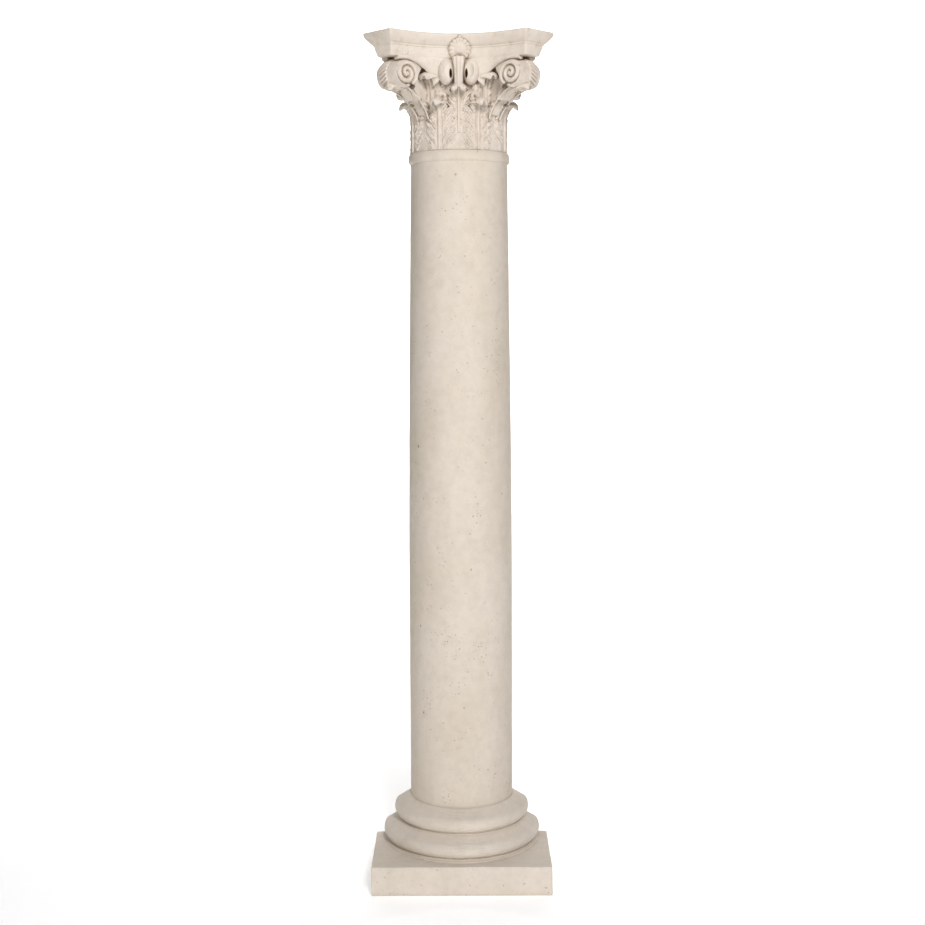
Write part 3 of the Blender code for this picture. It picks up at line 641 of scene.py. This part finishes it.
def make_leaf(name, angle, radius, foot, bend, height, reach, width, lobes=4, taper=0.50, turn=90.0, dish=0.0,
              spread=0.0, rows=84, columns=48):
    """An acanthus leaf as a closed loft along its length: carved in front, plain behind.

    dish hollows the face out, and spread lets the leaf widen as it reaches out.
    """
    spine = leaf_spine(radius, foot, bend, height, reach, turn, rows)
    swing = math.radians(angle)
    back_columns = 6
    rings = []
    for row, (out, up, direction, travelled) in enumerate(spine):
        along = row / rows
        half_width = leaf_width(along, width, lobes, taper) * (out / radius) ** spread
        thickness = LEAF_ROOT_THICKNESS + (LEAF_TIP_THICKNESS - LEAF_ROOT_THICKNESS) * min(along / 0.75, 1.0)
        droop = LEAF_TIP_DROOP * smooth_step((along - 0.62) / 0.30)
        ring = []
        for column in range(columns + 1):
            across = -1 + 2 * column / columns
            relief = leaf_relief(across, along, half_width, lobes, travelled, dish)
            bearing = swing + across * half_width / max(out, radius)
            low = up - droop * across**2
            depth = CARVING_DEPTH * (2.6 if dish else 1.0) * smooth_step((abs(across) - 0.10) * 5)
            relief += depth * noise.noise(polar(bearing, out, up) / CARVING_GRAIN)
            ahead = out + relief * math.cos(direction)
            ring.append(polar(bearing, ahead, low - relief * math.sin(direction)))
        for column in range(back_columns + 1):
            across = (1 - 2 * column / back_columns) * 0.97
            bearing = swing + across * half_width / max(out, radius)
            low = up - droop * across**2
            ring.append(
                polar(bearing, out - thickness * math.cos(direction), low + thickness * math.sin(direction))
            )
        rings.append(ring)
    return closed_loft(name, rings)


def make_leaf_border(name, angle, side, foot):
    """The smooth raised border along one side of a corner leaf, up to the volute."""
    steps = 40
    spine = leaf_spine(UPPER_LEAF_RADIUS, foot, CORNER_LEAF_BEND, CORNER_LEAF_HEIGHT, CORNER_LEAF_REACH,
                       CORNER_LEAF_TURN, steps)
    path = []
    first = 8
    last = 34
    proud = 0.001
    turn = math.radians(angle) + side * 0.88 * CORNER_LEAF_WIDTH / 2 / UPPER_LEAF_RADIUS
    for row, (out, up, direction, _) in enumerate(spine[first: last + 1]):
        size = BORDER_SIZE * (1 - 0.20 * row / last)
        place = polar(turn, out + proud * math.cos(direction), up - proud * math.sin(direction))
        path.append((place, size, size))
    return sweep(name, path)


def make_leaves():
    leaf_foot = CAPITAL_FOOT - LEAF_SUNK
    row_foot = CAPITAL_FOOT + UPPER_LEAF_RISE
    calyx_foot = CAPITAL_FOOT + CALYX_LEAF_RISE
    leaves = []
    for number, angle in enumerate(LOWER_LEAF_ANGLES):
        leaves.append(make_leaf(f"lower_leaf_{number}", angle, LOWER_LEAF_RADIUS, leaf_foot, LOWER_LEAF_BEND,
                                LOWER_LEAF_HEIGHT, LOWER_LEAF_REACH, LOWER_LEAF_WIDTH))
    for number, angle in enumerate(UPPER_LEAF_ANGLES):
        leaves.append(make_leaf(f"upper_leaf_{number}", angle, UPPER_LEAF_RADIUS, row_foot, UPPER_LEAF_BEND,
                                UPPER_LEAF_HEIGHT, UPPER_LEAF_REACH, UPPER_LEAF_WIDTH))
    for number, angle in enumerate(CORNER_LEAF_ANGLES):
        leaves.append(make_leaf(f"corner_leaf_{number}", angle, UPPER_LEAF_RADIUS, row_foot, CORNER_LEAF_BEND,
                                CORNER_LEAF_HEIGHT, CORNER_LEAF_REACH, CORNER_LEAF_WIDTH, lobes=5, taper=0.80,
                                turn=CORNER_LEAF_TURN, dish=CORNER_LEAF_DISH, spread=1.0))
        for side in (-1, 1):
            leaves.append(make_leaf_border(f"leaf_border_{number}_{side}", angle, side, row_foot))
    for number, angle in enumerate(CALYX_LEAF_ANGLES):
        leaves.append(make_leaf(f"calyx_leaf_{number}", angle, CALYX_LEAF_RADIUS, calyx_foot, CALYX_LEAF_BEND,
                                CALYX_LEAF_HEIGHT, CALYX_LEAF_REACH, CALYX_LEAF_WIDTH, lobes=3, taper=0.95,
                                rows=56, columns=36))
    return leaves


# The capital's bell and abacus


def bell_profile():
    tucked = 0.015
    lip_edge = 0.004
    lip_height = 0.008
    foot_flare = 0.006
    flare_foot = CAPITAL_FOOT + 0.55 * (ABACUS_FOOT - CAPITAL_FOOT)
    points = [(BELL_LIP_RADIUS, ABACUS_FOOT + tucked), (BELL_LIP_RADIUS, ABACUS_FOOT - lip_edge)]
    steps = 20
    for step in range(1, steps + 1):
        share = 1 - step / steps
        radius = BELL_RADIUS + (BELL_LIP_RADIUS - lip_edge - BELL_RADIUS) * share**2
        points.append((radius, flare_foot + (ABACUS_FOOT - lip_height - flare_foot) * share))
    points.append((BELL_RADIUS + foot_flare, CAPITAL_FOOT))
    return points


def abacus_outline(horn_reach, hollow_reach):
    """One level of the abacus: four hollow sides between cut horns with softened arrises."""
    steps = 40
    soft = 0.0045
    outline = []
    for side in range(4):
        turn = Matrix.Rotation(math.radians(90 * side), 2)
        for step in range(steps + 1):
            across = -1 + 2 * step / steps
            reach = hollow_reach + (horn_reach - hollow_reach) * across**2
            outline.append(turn @ Vector((across * HORN_SIDE, -reach)))
    rounded = []
    for n, corner in enumerate(outline):
        before = outline[n - 1] - corner
        after = outline[(n + 1) % len(outline)] - corner
        if before.angle(after) > math.radians(165):
            rounded.append(corner)
            continue
        start = corner + before.normalized() * soft
        end = corner + after.normalized() * soft
        for share in (0.0, 0.33, 0.67, 1.0):
            rounded.append(start.lerp(corner, share).lerp(corner.lerp(end, share), share))
    return rounded


def abacus_levels():
    """Height, and how far out from the underside's outline to the top's, of each level from below."""
    fillet = 0.0275
    levels = [(0.0, -0.03), (0.0015, 0.0), (0.010, 0.10), (0.020, 0.20), (fillet - 0.002, 0.235)]
    levels += [(fillet - 0.0012, 0.25), (fillet - 0.0004, 0.32), (fillet + 0.0022, 0.335)]
    levels += [(fillet + 0.0034, 0.35), (fillet + 0.0042, 0.43)]
    rise = ABACUS_HEIGHT - 0.0035 - fillet - 0.005
    steps = 7
    for step in range(1, steps + 1):
        share = step / steps
        levels.append((fillet + 0.005 + rise * share, 0.45 + 0.55 * math.sin(share * math.pi / 2) ** 1.1))
    levels += [(ABACUS_HEIGHT - 0.0015, 0.985), (ABACUS_HEIGHT - 0.0004, 0.955), (ABACUS_HEIGHT, 0.90)]
    return levels


def make_abacus():
    rings = []
    for rise, out in abacus_levels():
        horn = HORN_REACH_BOTTOM + (HORN_REACH_TOP - HORN_REACH_BOTTOM) * out
        hollow = HOLLOW_REACH_BOTTOM + (HOLLOW_REACH_TOP - HOLLOW_REACH_BOTTOM) * out
        height = ABACUS_FOOT + rise
        rings.append([Vector((p.x, p.y + AXIS_Y, height)) for p in abacus_outline(horn, hollow)])
    return closed_loft(
        "abacus", rings, Vector((0.0, AXIS_Y, rings[0][0].z)), Vector((0.0, AXIS_Y, rings[-1][0].z))
    )


# The volutes


def volute_point(side, face, across, up, proud):
    """A point on a corner volute, from its spiral's centre.

    side is -1 or 1 for the left or right corner. face is 0 for the spiral that looks forwards and 1 for its
    mirror image on the flank. across runs towards the horn, up upwards and proud out of the spiral.
    """
    turned_by = math.radians(VOLUTE_TURNED)
    x = VOLUTE_SIDE + across * math.cos(turned_by) - proud * math.sin(turned_by)
    y = -VOLUTE_REACH - across * math.sin(turned_by) - proud * math.cos(turned_by)
    if face == 1:
        x, y = -y, -x
    return Vector((side * x, AXIS_Y + y, VOLUTE_HEIGHT + up))


def spiral_height(share, angle):
    """How far the spiral stands out of the volute's face, at a share of its radius."""
    winding = (math.pi / 2 - angle) % FULL_TURN / FULL_TURN
    part = (VOLUTE_TURNS * (1 - share) - winding) % 1.0
    band = SPIRAL_BAND_DEPTH * math.sin(math.pi * part) ** 0.7
    cone = SPIRAL_CONE * (1 - share)
    inside = smooth_step((1.0 - share) * 14)
    eye = smooth_step(share / 0.20)
    return (band + cone) * inside * eye + SPIRAL_EYE_PROUD * (1 - eye)


def make_volute(side):
    """One corner volute: a spiral on each of its two faces and a broad feathered band between them."""
    around = 144
    face_rings = 28
    band_rings = 34
    rings = []
    apexes = []
    for face in (0, 1):
        face_part = []
        for ring in range(1, face_rings + 1):
            share = ring / face_rings
            line = []
            for n in range(around):
                angle = FULL_TURN * n / around
                radius = VOLUTE_FACE_RADIUS * share
                proud = spiral_height(share, angle)
                across = radius * math.cos(angle) + SPIRAL_ASIDE * (1 - share)
                line.append(volute_point(side, face, across, radius * math.sin(angle), proud))
            face_part.append(line)
        apexes.append(volute_point(side, face, SPIRAL_ASIDE, 0.0, spiral_height(0.0, 0.0)))
        rings.append(face_part)
    band = []
    for level in range(1, band_rings):
        share = level / band_rings
        bulge = smooth_step((1 - abs(share - 0.5) * 2) / 0.75)
        within = (share - 0.44) / 0.48
        leaf = smooth_step(within / 0.08) * smooth_step((1 - within) / 0.12)
        line = []
        for n in range(around):
            angle = FULL_TURN * n / around
            feather = abs(math.sin(math.pi * (FEATHERS * n / around + 1.4 * within)))
            radius = VOLUTE_FACE_RADIUS + (VOLUTE_BAND_RADIUS - VOLUTE_FACE_RADIUS - BAND_SUNK) * bulge
            radius += leaf * (FEATHER_DEPTH * feather - FEATHER_SUNK)
            across = radius * math.cos(angle)
            up = radius * math.sin(angle)
            front = volute_point(side, 0, across, up, 0.0)
            line.append(front.lerp(volute_point(side, 1, across, up, 0.0), share))
        band.append(line)
    return closed_loft(f"volute_{side}", rings[0] + band + rings[1][::-1], apexes[0], apexes[1])


def sweep(name, path, around=14):
    """An oval rod along a path of (place, half width, half height) steps, in the plane facing outwards."""
    rings = []
    for n, (place, wide, tall) in enumerate(path):
        before = path[max(n - 1, 0)][0]
        after = path[min(n + 1, len(path) - 1)][0]
        travel = (after - before).normalized()
        outward = Vector((place.x, place.y - AXIS_Y, 0.0)).normalized()
        across = travel.cross(outward).normalized()
        outward = across.cross(travel).normalized()
        ring = []
        for k in range(around):
            angle = FULL_TURN * k / around
            ring.append(place + across * tall * math.cos(angle) + outward * wide * math.sin(angle))
        rings.append(ring)
    return closed_loft(name, rings)


def make_stem(side, face):
    """The broad stem that spreads from the leaves up to the abacus and runs out over the volute's spiral."""
    inner = STEM_INNER_END
    thick = STEM_THICKNESS
    steps = 16
    overrun = 4
    path = []
    for step in range(steps + overrun + 1):
        share = step / steps
        across = inner + (VOLUTE_SIDE - inner) * share
        depth = abacus_reach(across) - thick - STEM_SUNK
        rise = math.sin(math.pi / 2 * min(share, 1.0) ** 0.8)
        low = ABACUS_FOOT - STEM_DROP + (STEM_DROP - STEM_END_DROP) * rise
        high = ABACUS_FOOT + STEM_TUCKED
        path.append((Vector((side * across, AXIS_Y - depth, (low + high) / 2)), thick, (high - low) / 2))
    if face == 1:
        path = [(mirrored(place, side), wide, tall) for place, wide, tall in path]
    return sweep(f"stem_{side}_{face}", path, 28)


def abacus_reach(across):
    """How far out the abacus's lower edge lies, at a distance across from the middle of a side."""
    return HOLLOW_REACH_BOTTOM + (HORN_REACH_BOTTOM - HOLLOW_REACH_BOTTOM) * (across / HORN_SIDE) ** 2


def mirrored(place, side):
    """The place on the flank that mirrors a place on the front, across the corner's diagonal."""
    x, y = place.x, place.y - AXIS_Y
    return Vector((-y * side, AXIS_Y - x * side, place.z))


def make_corner_web(side):
    """The solid stone between the bell, the volute and the horn of the abacus."""
    inner = BELL_RADIUS * 0.8
    outer = (VOLUTE_SIDE + VOLUTE_REACH) / math.sqrt(2)
    row_foot = CAPITAL_FOOT + UPPER_LEAF_RISE
    top = ABACUS_FOOT + 0.010
    outline = [
        (inner, top),
        (inner, row_foot + 0.045),
        (BELL_RADIUS + 0.012, row_foot + 0.050),
        (BELL_RADIUS + 0.050, VOLUTE_HEIGHT - 0.022),
        (outer, VOLUTE_HEIGHT - 0.020),
        (outer, top),
    ]
    half = 0.014
    along = Vector((side, -1.0, 0.0)).normalized()
    over = Vector((1.0, side, 0.0)).normalized()
    rings = []
    for end in (-half, half):
        start = Vector((0.0, AXIS_Y, 0.0)) + over * end
        rings.append([start + along * out + Vector((0.0, 0.0, up)) for out, up in outline])
    return closed_loft(f"corner_web_{side}", rings)


def make_volute_filling(side, face):
    """The stone that fills the corner between the stem, the spiral and the leaves, a little sunk.

    Its outline is in the spiral's own directions: across, up and proud.
    """
    thickness = 0.045
    outline = [
        (0.0, 0.034, -0.004),
        (0.0, -0.020, -0.012),
        (-0.024, -0.032, -0.026),
        (-0.050, -0.062, -0.032),
        (-0.052, 0.004, -0.014),
        (-0.066, 0.034, -0.008),
    ]
    rings = []
    for sunk in (0.0, thickness):
        rings.append([volute_point(side, face, across, up, proud - sunk) for across, up, proud in outline])
    return closed_loft(f"volute_filling_{side}_{face}", rings)


# What repeats on the front and the flanks


def egg(name, middle, size, turn, around=36, levels=20):
    """An egg with three different widths, turned about the column's axis."""
    swing = Matrix.Rotation(turn, 3, "Z")
    rings = []
    for level in range(1, levels):
        slope = math.pi * level / levels
        ring = []
        for n in range(around):
            angle = FULL_TURN * n / around
            radius = math.sin(slope)
            place = Vector((radius * math.sin(angle) * size[0] / 2, radius * math.cos(angle) * size[1] / 2,
                            math.cos(slope) * size[2] / 2)) + Vector(middle)
            ring.append(swing @ place + Vector((0.0, AXIS_Y, 0.0)))
        rings.append(ring)
    ends = [swing @ (Vector(middle) + Vector((0.0, 0.0, z))) + Vector((0.0, AXIS_Y, 0.0))
            for z in (size[2] / 2, -size[2] / 2)]
    return closed_loft(name, rings, ends[0], ends[1])


def make_flower(name, turn):
    """The flower on the abacus: scalloped petals round a broad smooth heart, leaning with the abacus."""
    swing = Matrix.Rotation(turn, 3, "Z")
    middle_height = ABACUS_FOOT + FLOWER_RISE
    face = HOLLOW_REACH_BOTTOM + FLOWER_SEAT
    around = FLOWER_PETALS * 8
    steps = 16

    def place(radius, angle, reach):
        up = radius * math.cos(angle)
        out = reach + FLOWER_LEAN * up
        spot = Vector((FLOWER_ASIDE + radius * math.sin(angle), -out, middle_height + up))
        return swing @ spot + Vector((0.0, AXIS_Y, 0.0))

    back = face - FLOWER_DEPTH
    rings = [[place(FLOWER_RADIUS * 0.9, FULL_TURN * n / around, back) for n in range(around)]]
    for step in range(steps):
        share = 1 - step / steps
        ring = []
        for n in range(around):
            angle = FULL_TURN * n / around
            petal = abs(math.sin(FLOWER_PETALS * angle / 2))
            edge = smooth_step((1 - share) / 0.18)
            scallop = 0.09 * (1 - petal) * smooth_step((share - 0.65) / 0.35)
            radius = FLOWER_RADIUS * share * (1 - scallop)
            dish = 0.62 + 0.16 * smooth_step((share - 0.45) / 0.3)
            heart = 0.30 * smooth_step((0.50 - share) / 0.35)
            groove = 0.17 * (1 - petal) ** 2 * smooth_step((share - 0.35) / 0.4)
            ring.append(place(radius, angle, face + FLOWER_PROUD * (dish + heart - groove) * edge))
        rings.append(ring)
    return closed_loft(name, rings, None, place(0.0, 0.0, face + FLOWER_PROUD * 0.92))


def make_stalk(name, turn):
    """The grooved stalk that widens upwards between the helices."""
    swing = Matrix.Rotation(turn, 3, "Z")
    around = 64
    steps = 18
    rings = []
    for step in range(steps + 1):
        share = step / steps
        half = STALK_HALF_FOOT + STALK_FLARE * share**1.5
        ring = []
        for n in range(around):
            angle = FULL_TURN * n / around
            groove = 1 - 0.16 * math.exp(-(((abs(math.sin(angle)) - 0.45) / 0.16) ** 2))
            out = HOLLOW_REACH_BOTTOM + STALK_PROUD * math.cos(angle) * groove
            up = HELIX_MIDDLE - STALK_DROP + STALK_HEIGHT * share
            ring.append(swing @ Vector((half * math.sin(angle), -out, up)) + Vector((0.0, AXIS_Y, 0.0)))
        rings.append(ring)
    return closed_loft(name, rings)


def make_faces():
    """Helices, stalk and flower, with the drilled slots, on the front and on both flanks."""
    added = []
    taken = []
    reach = HOLLOW_REACH_BOTTOM
    for number, turn in enumerate((-math.pi / 2, 0.0, math.pi / 2)):
        for side in (-1, 1):
            label = f"{number}_{side}"
            helix = (side * HELIX_ASIDE, HELIX_SUNK - reach, HELIX_MIDDLE - HELIX_DROP)
            added.append(egg(f"helix_{label}", helix, HELIX_SIZE, turn))
            hollow = (side * HOLLOW_ASIDE, -reach - HOLLOW_PROUD, HELIX_MIDDLE - HOLLOW_DROP)
            taken.append(egg(f"hollow_{label}", hollow, HOLLOW_SIZE, turn))
            slot = (side * SLOT_ASIDE, -reach - SLOT_PROUD, HELIX_MIDDLE - SLOT_DROP)
            taken.append(egg(f"slot_{label}", slot, SLOT_SIZE, turn, around=16, levels=10))
            gap = (side * GAP_ASIDE, -GAP_PROUD, ABACUS_FOOT - GAP_DROP)
            taken.append(egg(f"gap_{label}", gap, GAP_SIZE, turn, around=16, levels=10))
            curl = (side * TIP_CURL_ASIDE, -reach - TIP_CURL_PROUD, ABACUS_FOOT - TIP_CURL_DROP)
            added.append(egg(f"tip_curl_{label}", curl, TIP_CURL_SIZE, turn, around=20, levels=12))
        added.append(make_stalk(f"stalk_{number}", turn))
        added.append(make_flower(f"flower_{number}", turn))
        tip = (FLOWER_ASIDE, -reach - FLOWER_TIP_PROUD, ABACUS_FOOT + FLOWER_TIP_RISE)
        added.append(egg(f"flower_tip_{number}", tip, FLOWER_TIP_SIZE, turn, around=20, levels=12))
    return added, taken


def make_capital():
    bell = turned_half("bell", bell_profile(), 120, wear_field(size=0.03, depth=0.0005, seed=2.0))
    added = [make_abacus()]
    for side in (-1, 1):
        added.append(make_corner_web(side))
        added.append(make_volute(side))
        for face in (0, 1):
            added.append(make_stem(side, face))
            added.append(make_volute_filling(side, face))
    faces, taken = make_faces()
    added += faces + make_leaves()
    for side in (-1, 1):
        for number, (across, up, size) in enumerate(CORNER_HOLLOWS):
            spot = Vector((side * across, AXIS_Y - CORNER_HOLLOW_PROUD, ABACUS_FOOT - up))
            for face in (0, 1):
                middle = mirrored(spot, side) if face else spot
                middle.y -= AXIS_Y
                wide, deep, tall = size
                size_here = (deep, wide, tall) if face else size
                name = f"corner_hollow_{side}_{number}_{face}"
                taken.append(egg(name, middle, size_here, 0.0, around=20, levels=12))
    reach = TOTAL_HEIGHT
    taken.append(make_block("below", (-reach, -reach, 0.0), (reach, reach, CAPITAL_FOOT)))
    taken.append(make_block("behind", (-reach, BACK_Y, -reach), (reach, reach, 2 * reach)))
    return carve("carved_capital", bell, added, taken)


# Materials

# The sockets of a colour mix node, which share their names.
MIX_AMOUNT = 0
MIX_FIRST = 6
MIX_SECOND = 7
MIX_RESULT = 2

SPECK_COLOUR = (0.30, 0.23, 0.16, 1.0)
STAIN_COLOUR = (0.76, 0.70, 0.62, 1.0)
# The brown that the painted shade in the hollows darkens towards.
PAINTED_SHADE_COLOUR = (0.42, 0.34, 0.25)
WHITE = (1.0, 1.0, 1.0)


def link(tree, source, output, target, socket):
    tree.links.new(source.outputs[output], target.inputs[socket])


def add_noise(tree, place, scale, detail=4.0, roughness=0.5, stretch=None):
    node = tree.nodes.new("ShaderNodeTexNoise")
    node.inputs["Scale"].default_value = scale
    node.inputs["Detail"].default_value = detail
    node.inputs["Roughness"].default_value = roughness
    source = place
    if stretch:
        source = tree.nodes.new("ShaderNodeMapping")
        source.inputs["Scale"].default_value = stretch
        link(tree, place, "Object", source, "Vector")
        link(tree, source, "Vector", node, "Vector")
    else:
        link(tree, place, "Object", node, "Vector")
    return node


def add_ramp(tree, source, output, stops):
    node = tree.nodes.new("ShaderNodeValToRGB")
    line = node.color_ramp
    while len(line.elements) < len(stops):
        line.elements.new(0.5)
    for element, (place, colour) in zip(line.elements, stops):
        element.position = place
        element.color = (*colour, 1.0) if len(colour) == 3 else colour
    link(tree, source, output, node, "Fac")
    return node


def add_mix(tree, how, first, second, amount):
    """Mixes two colour sockets. first, second and amount are (node, output) pairs, or a plain value."""
    node = tree.nodes.new("ShaderNodeMix")
    node.data_type = "RGBA"
    node.blend_type = how
    for value, socket in ((amount, MIX_AMOUNT), (first, MIX_FIRST), (second, MIX_SECOND)):
        if isinstance(value, tuple) and not isinstance(value[0], float):
            tree.links.new(value[0].outputs[value[1]], node.inputs[socket])
        else:
            node.inputs[socket].default_value = value
    return node


def grey(value):
    return (value, value, value)


def cast_stone(name, light, dark, speck_share, painted_shade_reach, painted_shade_depth, stain):
    """Cast stone: soft mottling, a fine grain, dark specks, brown stains and painted shade darkening the
    hollows.

    speck_share raises the share with specks. The next two arguments set the reach and the strength of the
    painted shade, an ambient occlusion darkening of the hollows, and stain the stains.
    """
    material = bpy.data.materials.new(name)
    material.use_nodes = True
    tree = material.node_tree
    shader = tree.nodes["Principled BSDF"]
    place = tree.nodes.new("ShaderNodeTexCoord")
    mottle = add_noise(tree, place, scale=7.0, detail=6.0, roughness=0.55, stretch=(1.0, 1.0, 0.45))
    tone = add_ramp(tree, mottle, "Fac", [(0.34, dark), (0.62, light)])
    cloud = add_noise(tree, place, scale=38.0, detail=5.0, roughness=0.6)
    cloud_tone = add_ramp(tree, cloud, "Fac", [(0.30, grey(0.93)), (0.60, grey(1.0))])
    colour = add_mix(tree, "MULTIPLY", (tone, 0), (cloud_tone, 0), 1.0)
    grain = add_noise(tree, place, scale=520.0, detail=2.0, roughness=0.6)
    grain_tone = add_ramp(tree, grain, "Fac", [(0.32, grey(0.94)), (0.68, grey(1.03))])
    colour = add_mix(tree, "MULTIPLY", (colour, MIX_RESULT), (grain_tone, 0), 1.0)
    specks = tree.nodes.new("ShaderNodeTexVoronoi")
    specks.inputs["Scale"].default_value = 95.0
    specks.inputs["Randomness"].default_value = 1.0
    link(tree, place, "Object", specks, "Vector")
    near = add_ramp(tree, specks, "Distance", [(0.10, grey(1.0)), (0.19, grey(0.0))])
    patch = add_noise(tree, place, scale=14.0, detail=5.0, roughness=0.65, stretch=(1.0, 1.0, 0.6))
    where = add_ramp(tree, patch, "Fac", [(0.60 - speck_share, grey(0.0)), (0.66 - speck_share, grey(1.0))])
    spotted = add_mix(tree, "MULTIPLY", (near, 0), (where, 0), 1.0)
    colour = add_mix(tree, "MIX", (colour, MIX_RESULT), SPECK_COLOUR, (spotted, MIX_RESULT))
    stains = add_noise(tree, place, scale=26.0, detail=6.0, roughness=0.65)
    stained = add_ramp(tree, stains, "Fac", [(0.54, grey(0.0)), (0.66, grey(stain))])
    colour = add_mix(tree, "MULTIPLY", (colour, MIX_RESULT), STAIN_COLOUR, (stained, 0))
    # Painted shade: ambient occlusion darkens the colour in hollows and creases towards a brown shade colour.
    hollow = tree.nodes.new("ShaderNodeAmbientOcclusion")
    hollow.samples = 8
    hollow.inputs["Distance"].default_value = painted_shade_reach
    painted_shade = add_ramp(tree, hollow, "AO", [(0.25, PAINTED_SHADE_COLOUR), (0.85, WHITE)])
    colour = add_mix(tree, "MULTIPLY", (colour, MIX_RESULT), (painted_shade, 0), painted_shade_depth)
    tree.links.new(colour.outputs[MIX_RESULT], shader.inputs["Base Color"])
    rough = add_ramp(tree, cloud, "Fac", [(0.3, grey(0.78)), (0.7, grey(0.94))])
    link(tree, rough, "Color", shader, "Roughness")
    shader.inputs["Specular IOR Level"].default_value = 0.28
    height = add_mix(tree, "SUBTRACT", (grain, 0), (spotted, MIX_RESULT), 1.0)
    height = add_mix(tree, "ADD", (height, MIX_RESULT), (cloud, 0), 0.6)
    bump = tree.nodes.new("ShaderNodeBump")
    bump.inputs["Strength"].default_value = 0.55
    bump.inputs["Distance"].default_value = 0.0006
    tree.links.new(height.outputs[MIX_RESULT], bump.inputs["Height"])
    link(tree, bump, "Normal", shader, "Normal")
    return material


# Stage, light and camera


def plain_material(name, colour, glow):
    material = bpy.data.materials.new(name)
    material.use_nodes = True
    shader = material.node_tree.nodes["Principled BSDF"]
    shader.inputs["Base Color"].default_value = (*grey(colour), 1.0)
    shader.inputs["Roughness"].default_value = 0.9
    shader.inputs["Emission Color"].default_value = (*WHITE, 1.0)
    shader.inputs["Emission Strength"].default_value = glow
    return material


def make_stage():
    """A pale floor that curves up into a pale wall behind the column."""
    half = 6.0
    front = -6.5
    back = 6.0
    bend = 1.2
    wall = 6.0
    line = [(front, 0.0), (back - bend, 0.0)]
    for step in range(1, 13):
        angle = math.pi / 2 * step / 12
        line.append((back - bend + bend * math.sin(angle), bend - bend * math.cos(angle)))
    line.append((back, wall))
    points = [(x, y, z) for y, z in line for x in (-half, half)]
    faces = [(2 * n, 2 * n + 1, 2 * n + 3, 2 * n + 2) for n in range(len(line) - 1)]
    mesh = bpy.data.meshes.new("studio_floor")
    mesh.from_pydata(points, [], faces)
    mesh.shade_smooth()
    floor = bpy.data.objects.new("studio_floor", mesh)
    bpy.context.scene.collection.objects.link(floor)
    mesh.materials.append(plain_material("pale_floor", colour=0.94, glow=0.36))


def aim(item, place, target):
    item.location = place
    item.rotation_euler = (Vector(target) - Vector(place)).to_track_quat("-Z", "Y").to_euler()


def add_light(name, place, target, size, power, colour):
    lamp = bpy.data.lights.new(name, "AREA")
    lamp.shape = "RECTANGLE"
    lamp.size = size[0]
    lamp.size_y = size[1]
    lamp.energy = power
    lamp.color = colour
    holder = bpy.data.objects.new(name, lamp)
    bpy.context.scene.collection.objects.link(holder)
    aim(holder, place, target)


def light_studio():
    middle = (0.0, 0.0, 1.15)
    add_light("key", (1.1, -4.6, 4.1), middle, size=(1.2, 1.6), power=204.0, colour=(0.99, 0.98, 1.0))
    add_light("fill", (-1.5, -4.4, 1.8), middle, size=(1.4, 1.8), power=32.0, colour=(1.0, 0.99, 0.93))
    for name, side in (("wall_left", -1), ("wall_right", 1)):
        lamp_place = (side * 3.4, 3.0, 3.2)
        lit_place = (side * 1.6, 6.0, 1.4)
        add_light(name, lamp_place, lit_place, size=(1.5, 1.5), power=190.0, colour=WHITE)
    world = bpy.data.worlds.new("studio")
    world.use_nodes = True
    world.node_tree.nodes["Background"].inputs["Color"].default_value = (*WHITE, 1.0)
    world.node_tree.nodes["Background"].inputs["Strength"].default_value = 0.07
    bpy.context.scene.world = world
    bpy.context.scene.view_settings.view_transform = "Standard"


def place_camera():
    """The photograph's camera: at eye level in front of the column, looking down a little."""
    sensor = 36.0
    focal_pixels = 1392.7
    picture_width = 925.0
    camera = bpy.data.cameras.new("camera")
    camera.sensor_width = sensor
    camera.lens = focal_pixels / picture_width * sensor
    holder = bpy.data.objects.new("camera", camera)
    bpy.context.scene.collection.objects.link(holder)
    aside = 0.0065
    distance = 3.9733
    eye_level = 1.6087
    pitch = 0.1063
    roll = -0.0040
    turn = Matrix.Rotation(math.pi / 2 - pitch, 4, "X") @ Matrix.Rotation(roll, 4, "Z")
    holder.matrix_world = Matrix.Translation((aside, AXIS_Y - distance, eye_level)) @ turn
    bpy.context.scene.camera = holder


def dress(piece, node, material):
    piece.data.materials.append(material)
    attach(piece, "root")
    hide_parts(node)


def main():
    # Each stone darkens its hollows with painted shade, weakest on the base.
    dress(make_base(), "base",
          # The base's stone is a little lighter than the shaft's, partly its own tone and partly painted
          # light standing in for more light on its upward faces.
          cast_stone("base_stone", (0.77, 0.69, 0.60), (0.71, 0.635, 0.54),
                     speck_share=0.02, painted_shade_reach=0.02, painted_shade_depth=0.30, stain=0.10))
    dress(make_shaft(), "shaft",
          cast_stone("shaft_stone", (0.745, 0.668, 0.576), (0.685, 0.605, 0.50),
                     speck_share=0.06, painted_shade_reach=0.02, painted_shade_depth=0.75, stain=0.12))
    dress(make_capital(), "capital",
          # The capital's stone is a little lighter than the shaft's, partly its own tone and partly painted
          # light that brightens the top.
          cast_stone("capital_stone", (0.79, 0.71, 0.625), (0.73, 0.65, 0.56),
                     speck_share=0.00, painted_shade_reach=0.011, painted_shade_depth=0.80, stain=0.45))
    make_stage()
    light_studio()
    place_camera()


main()
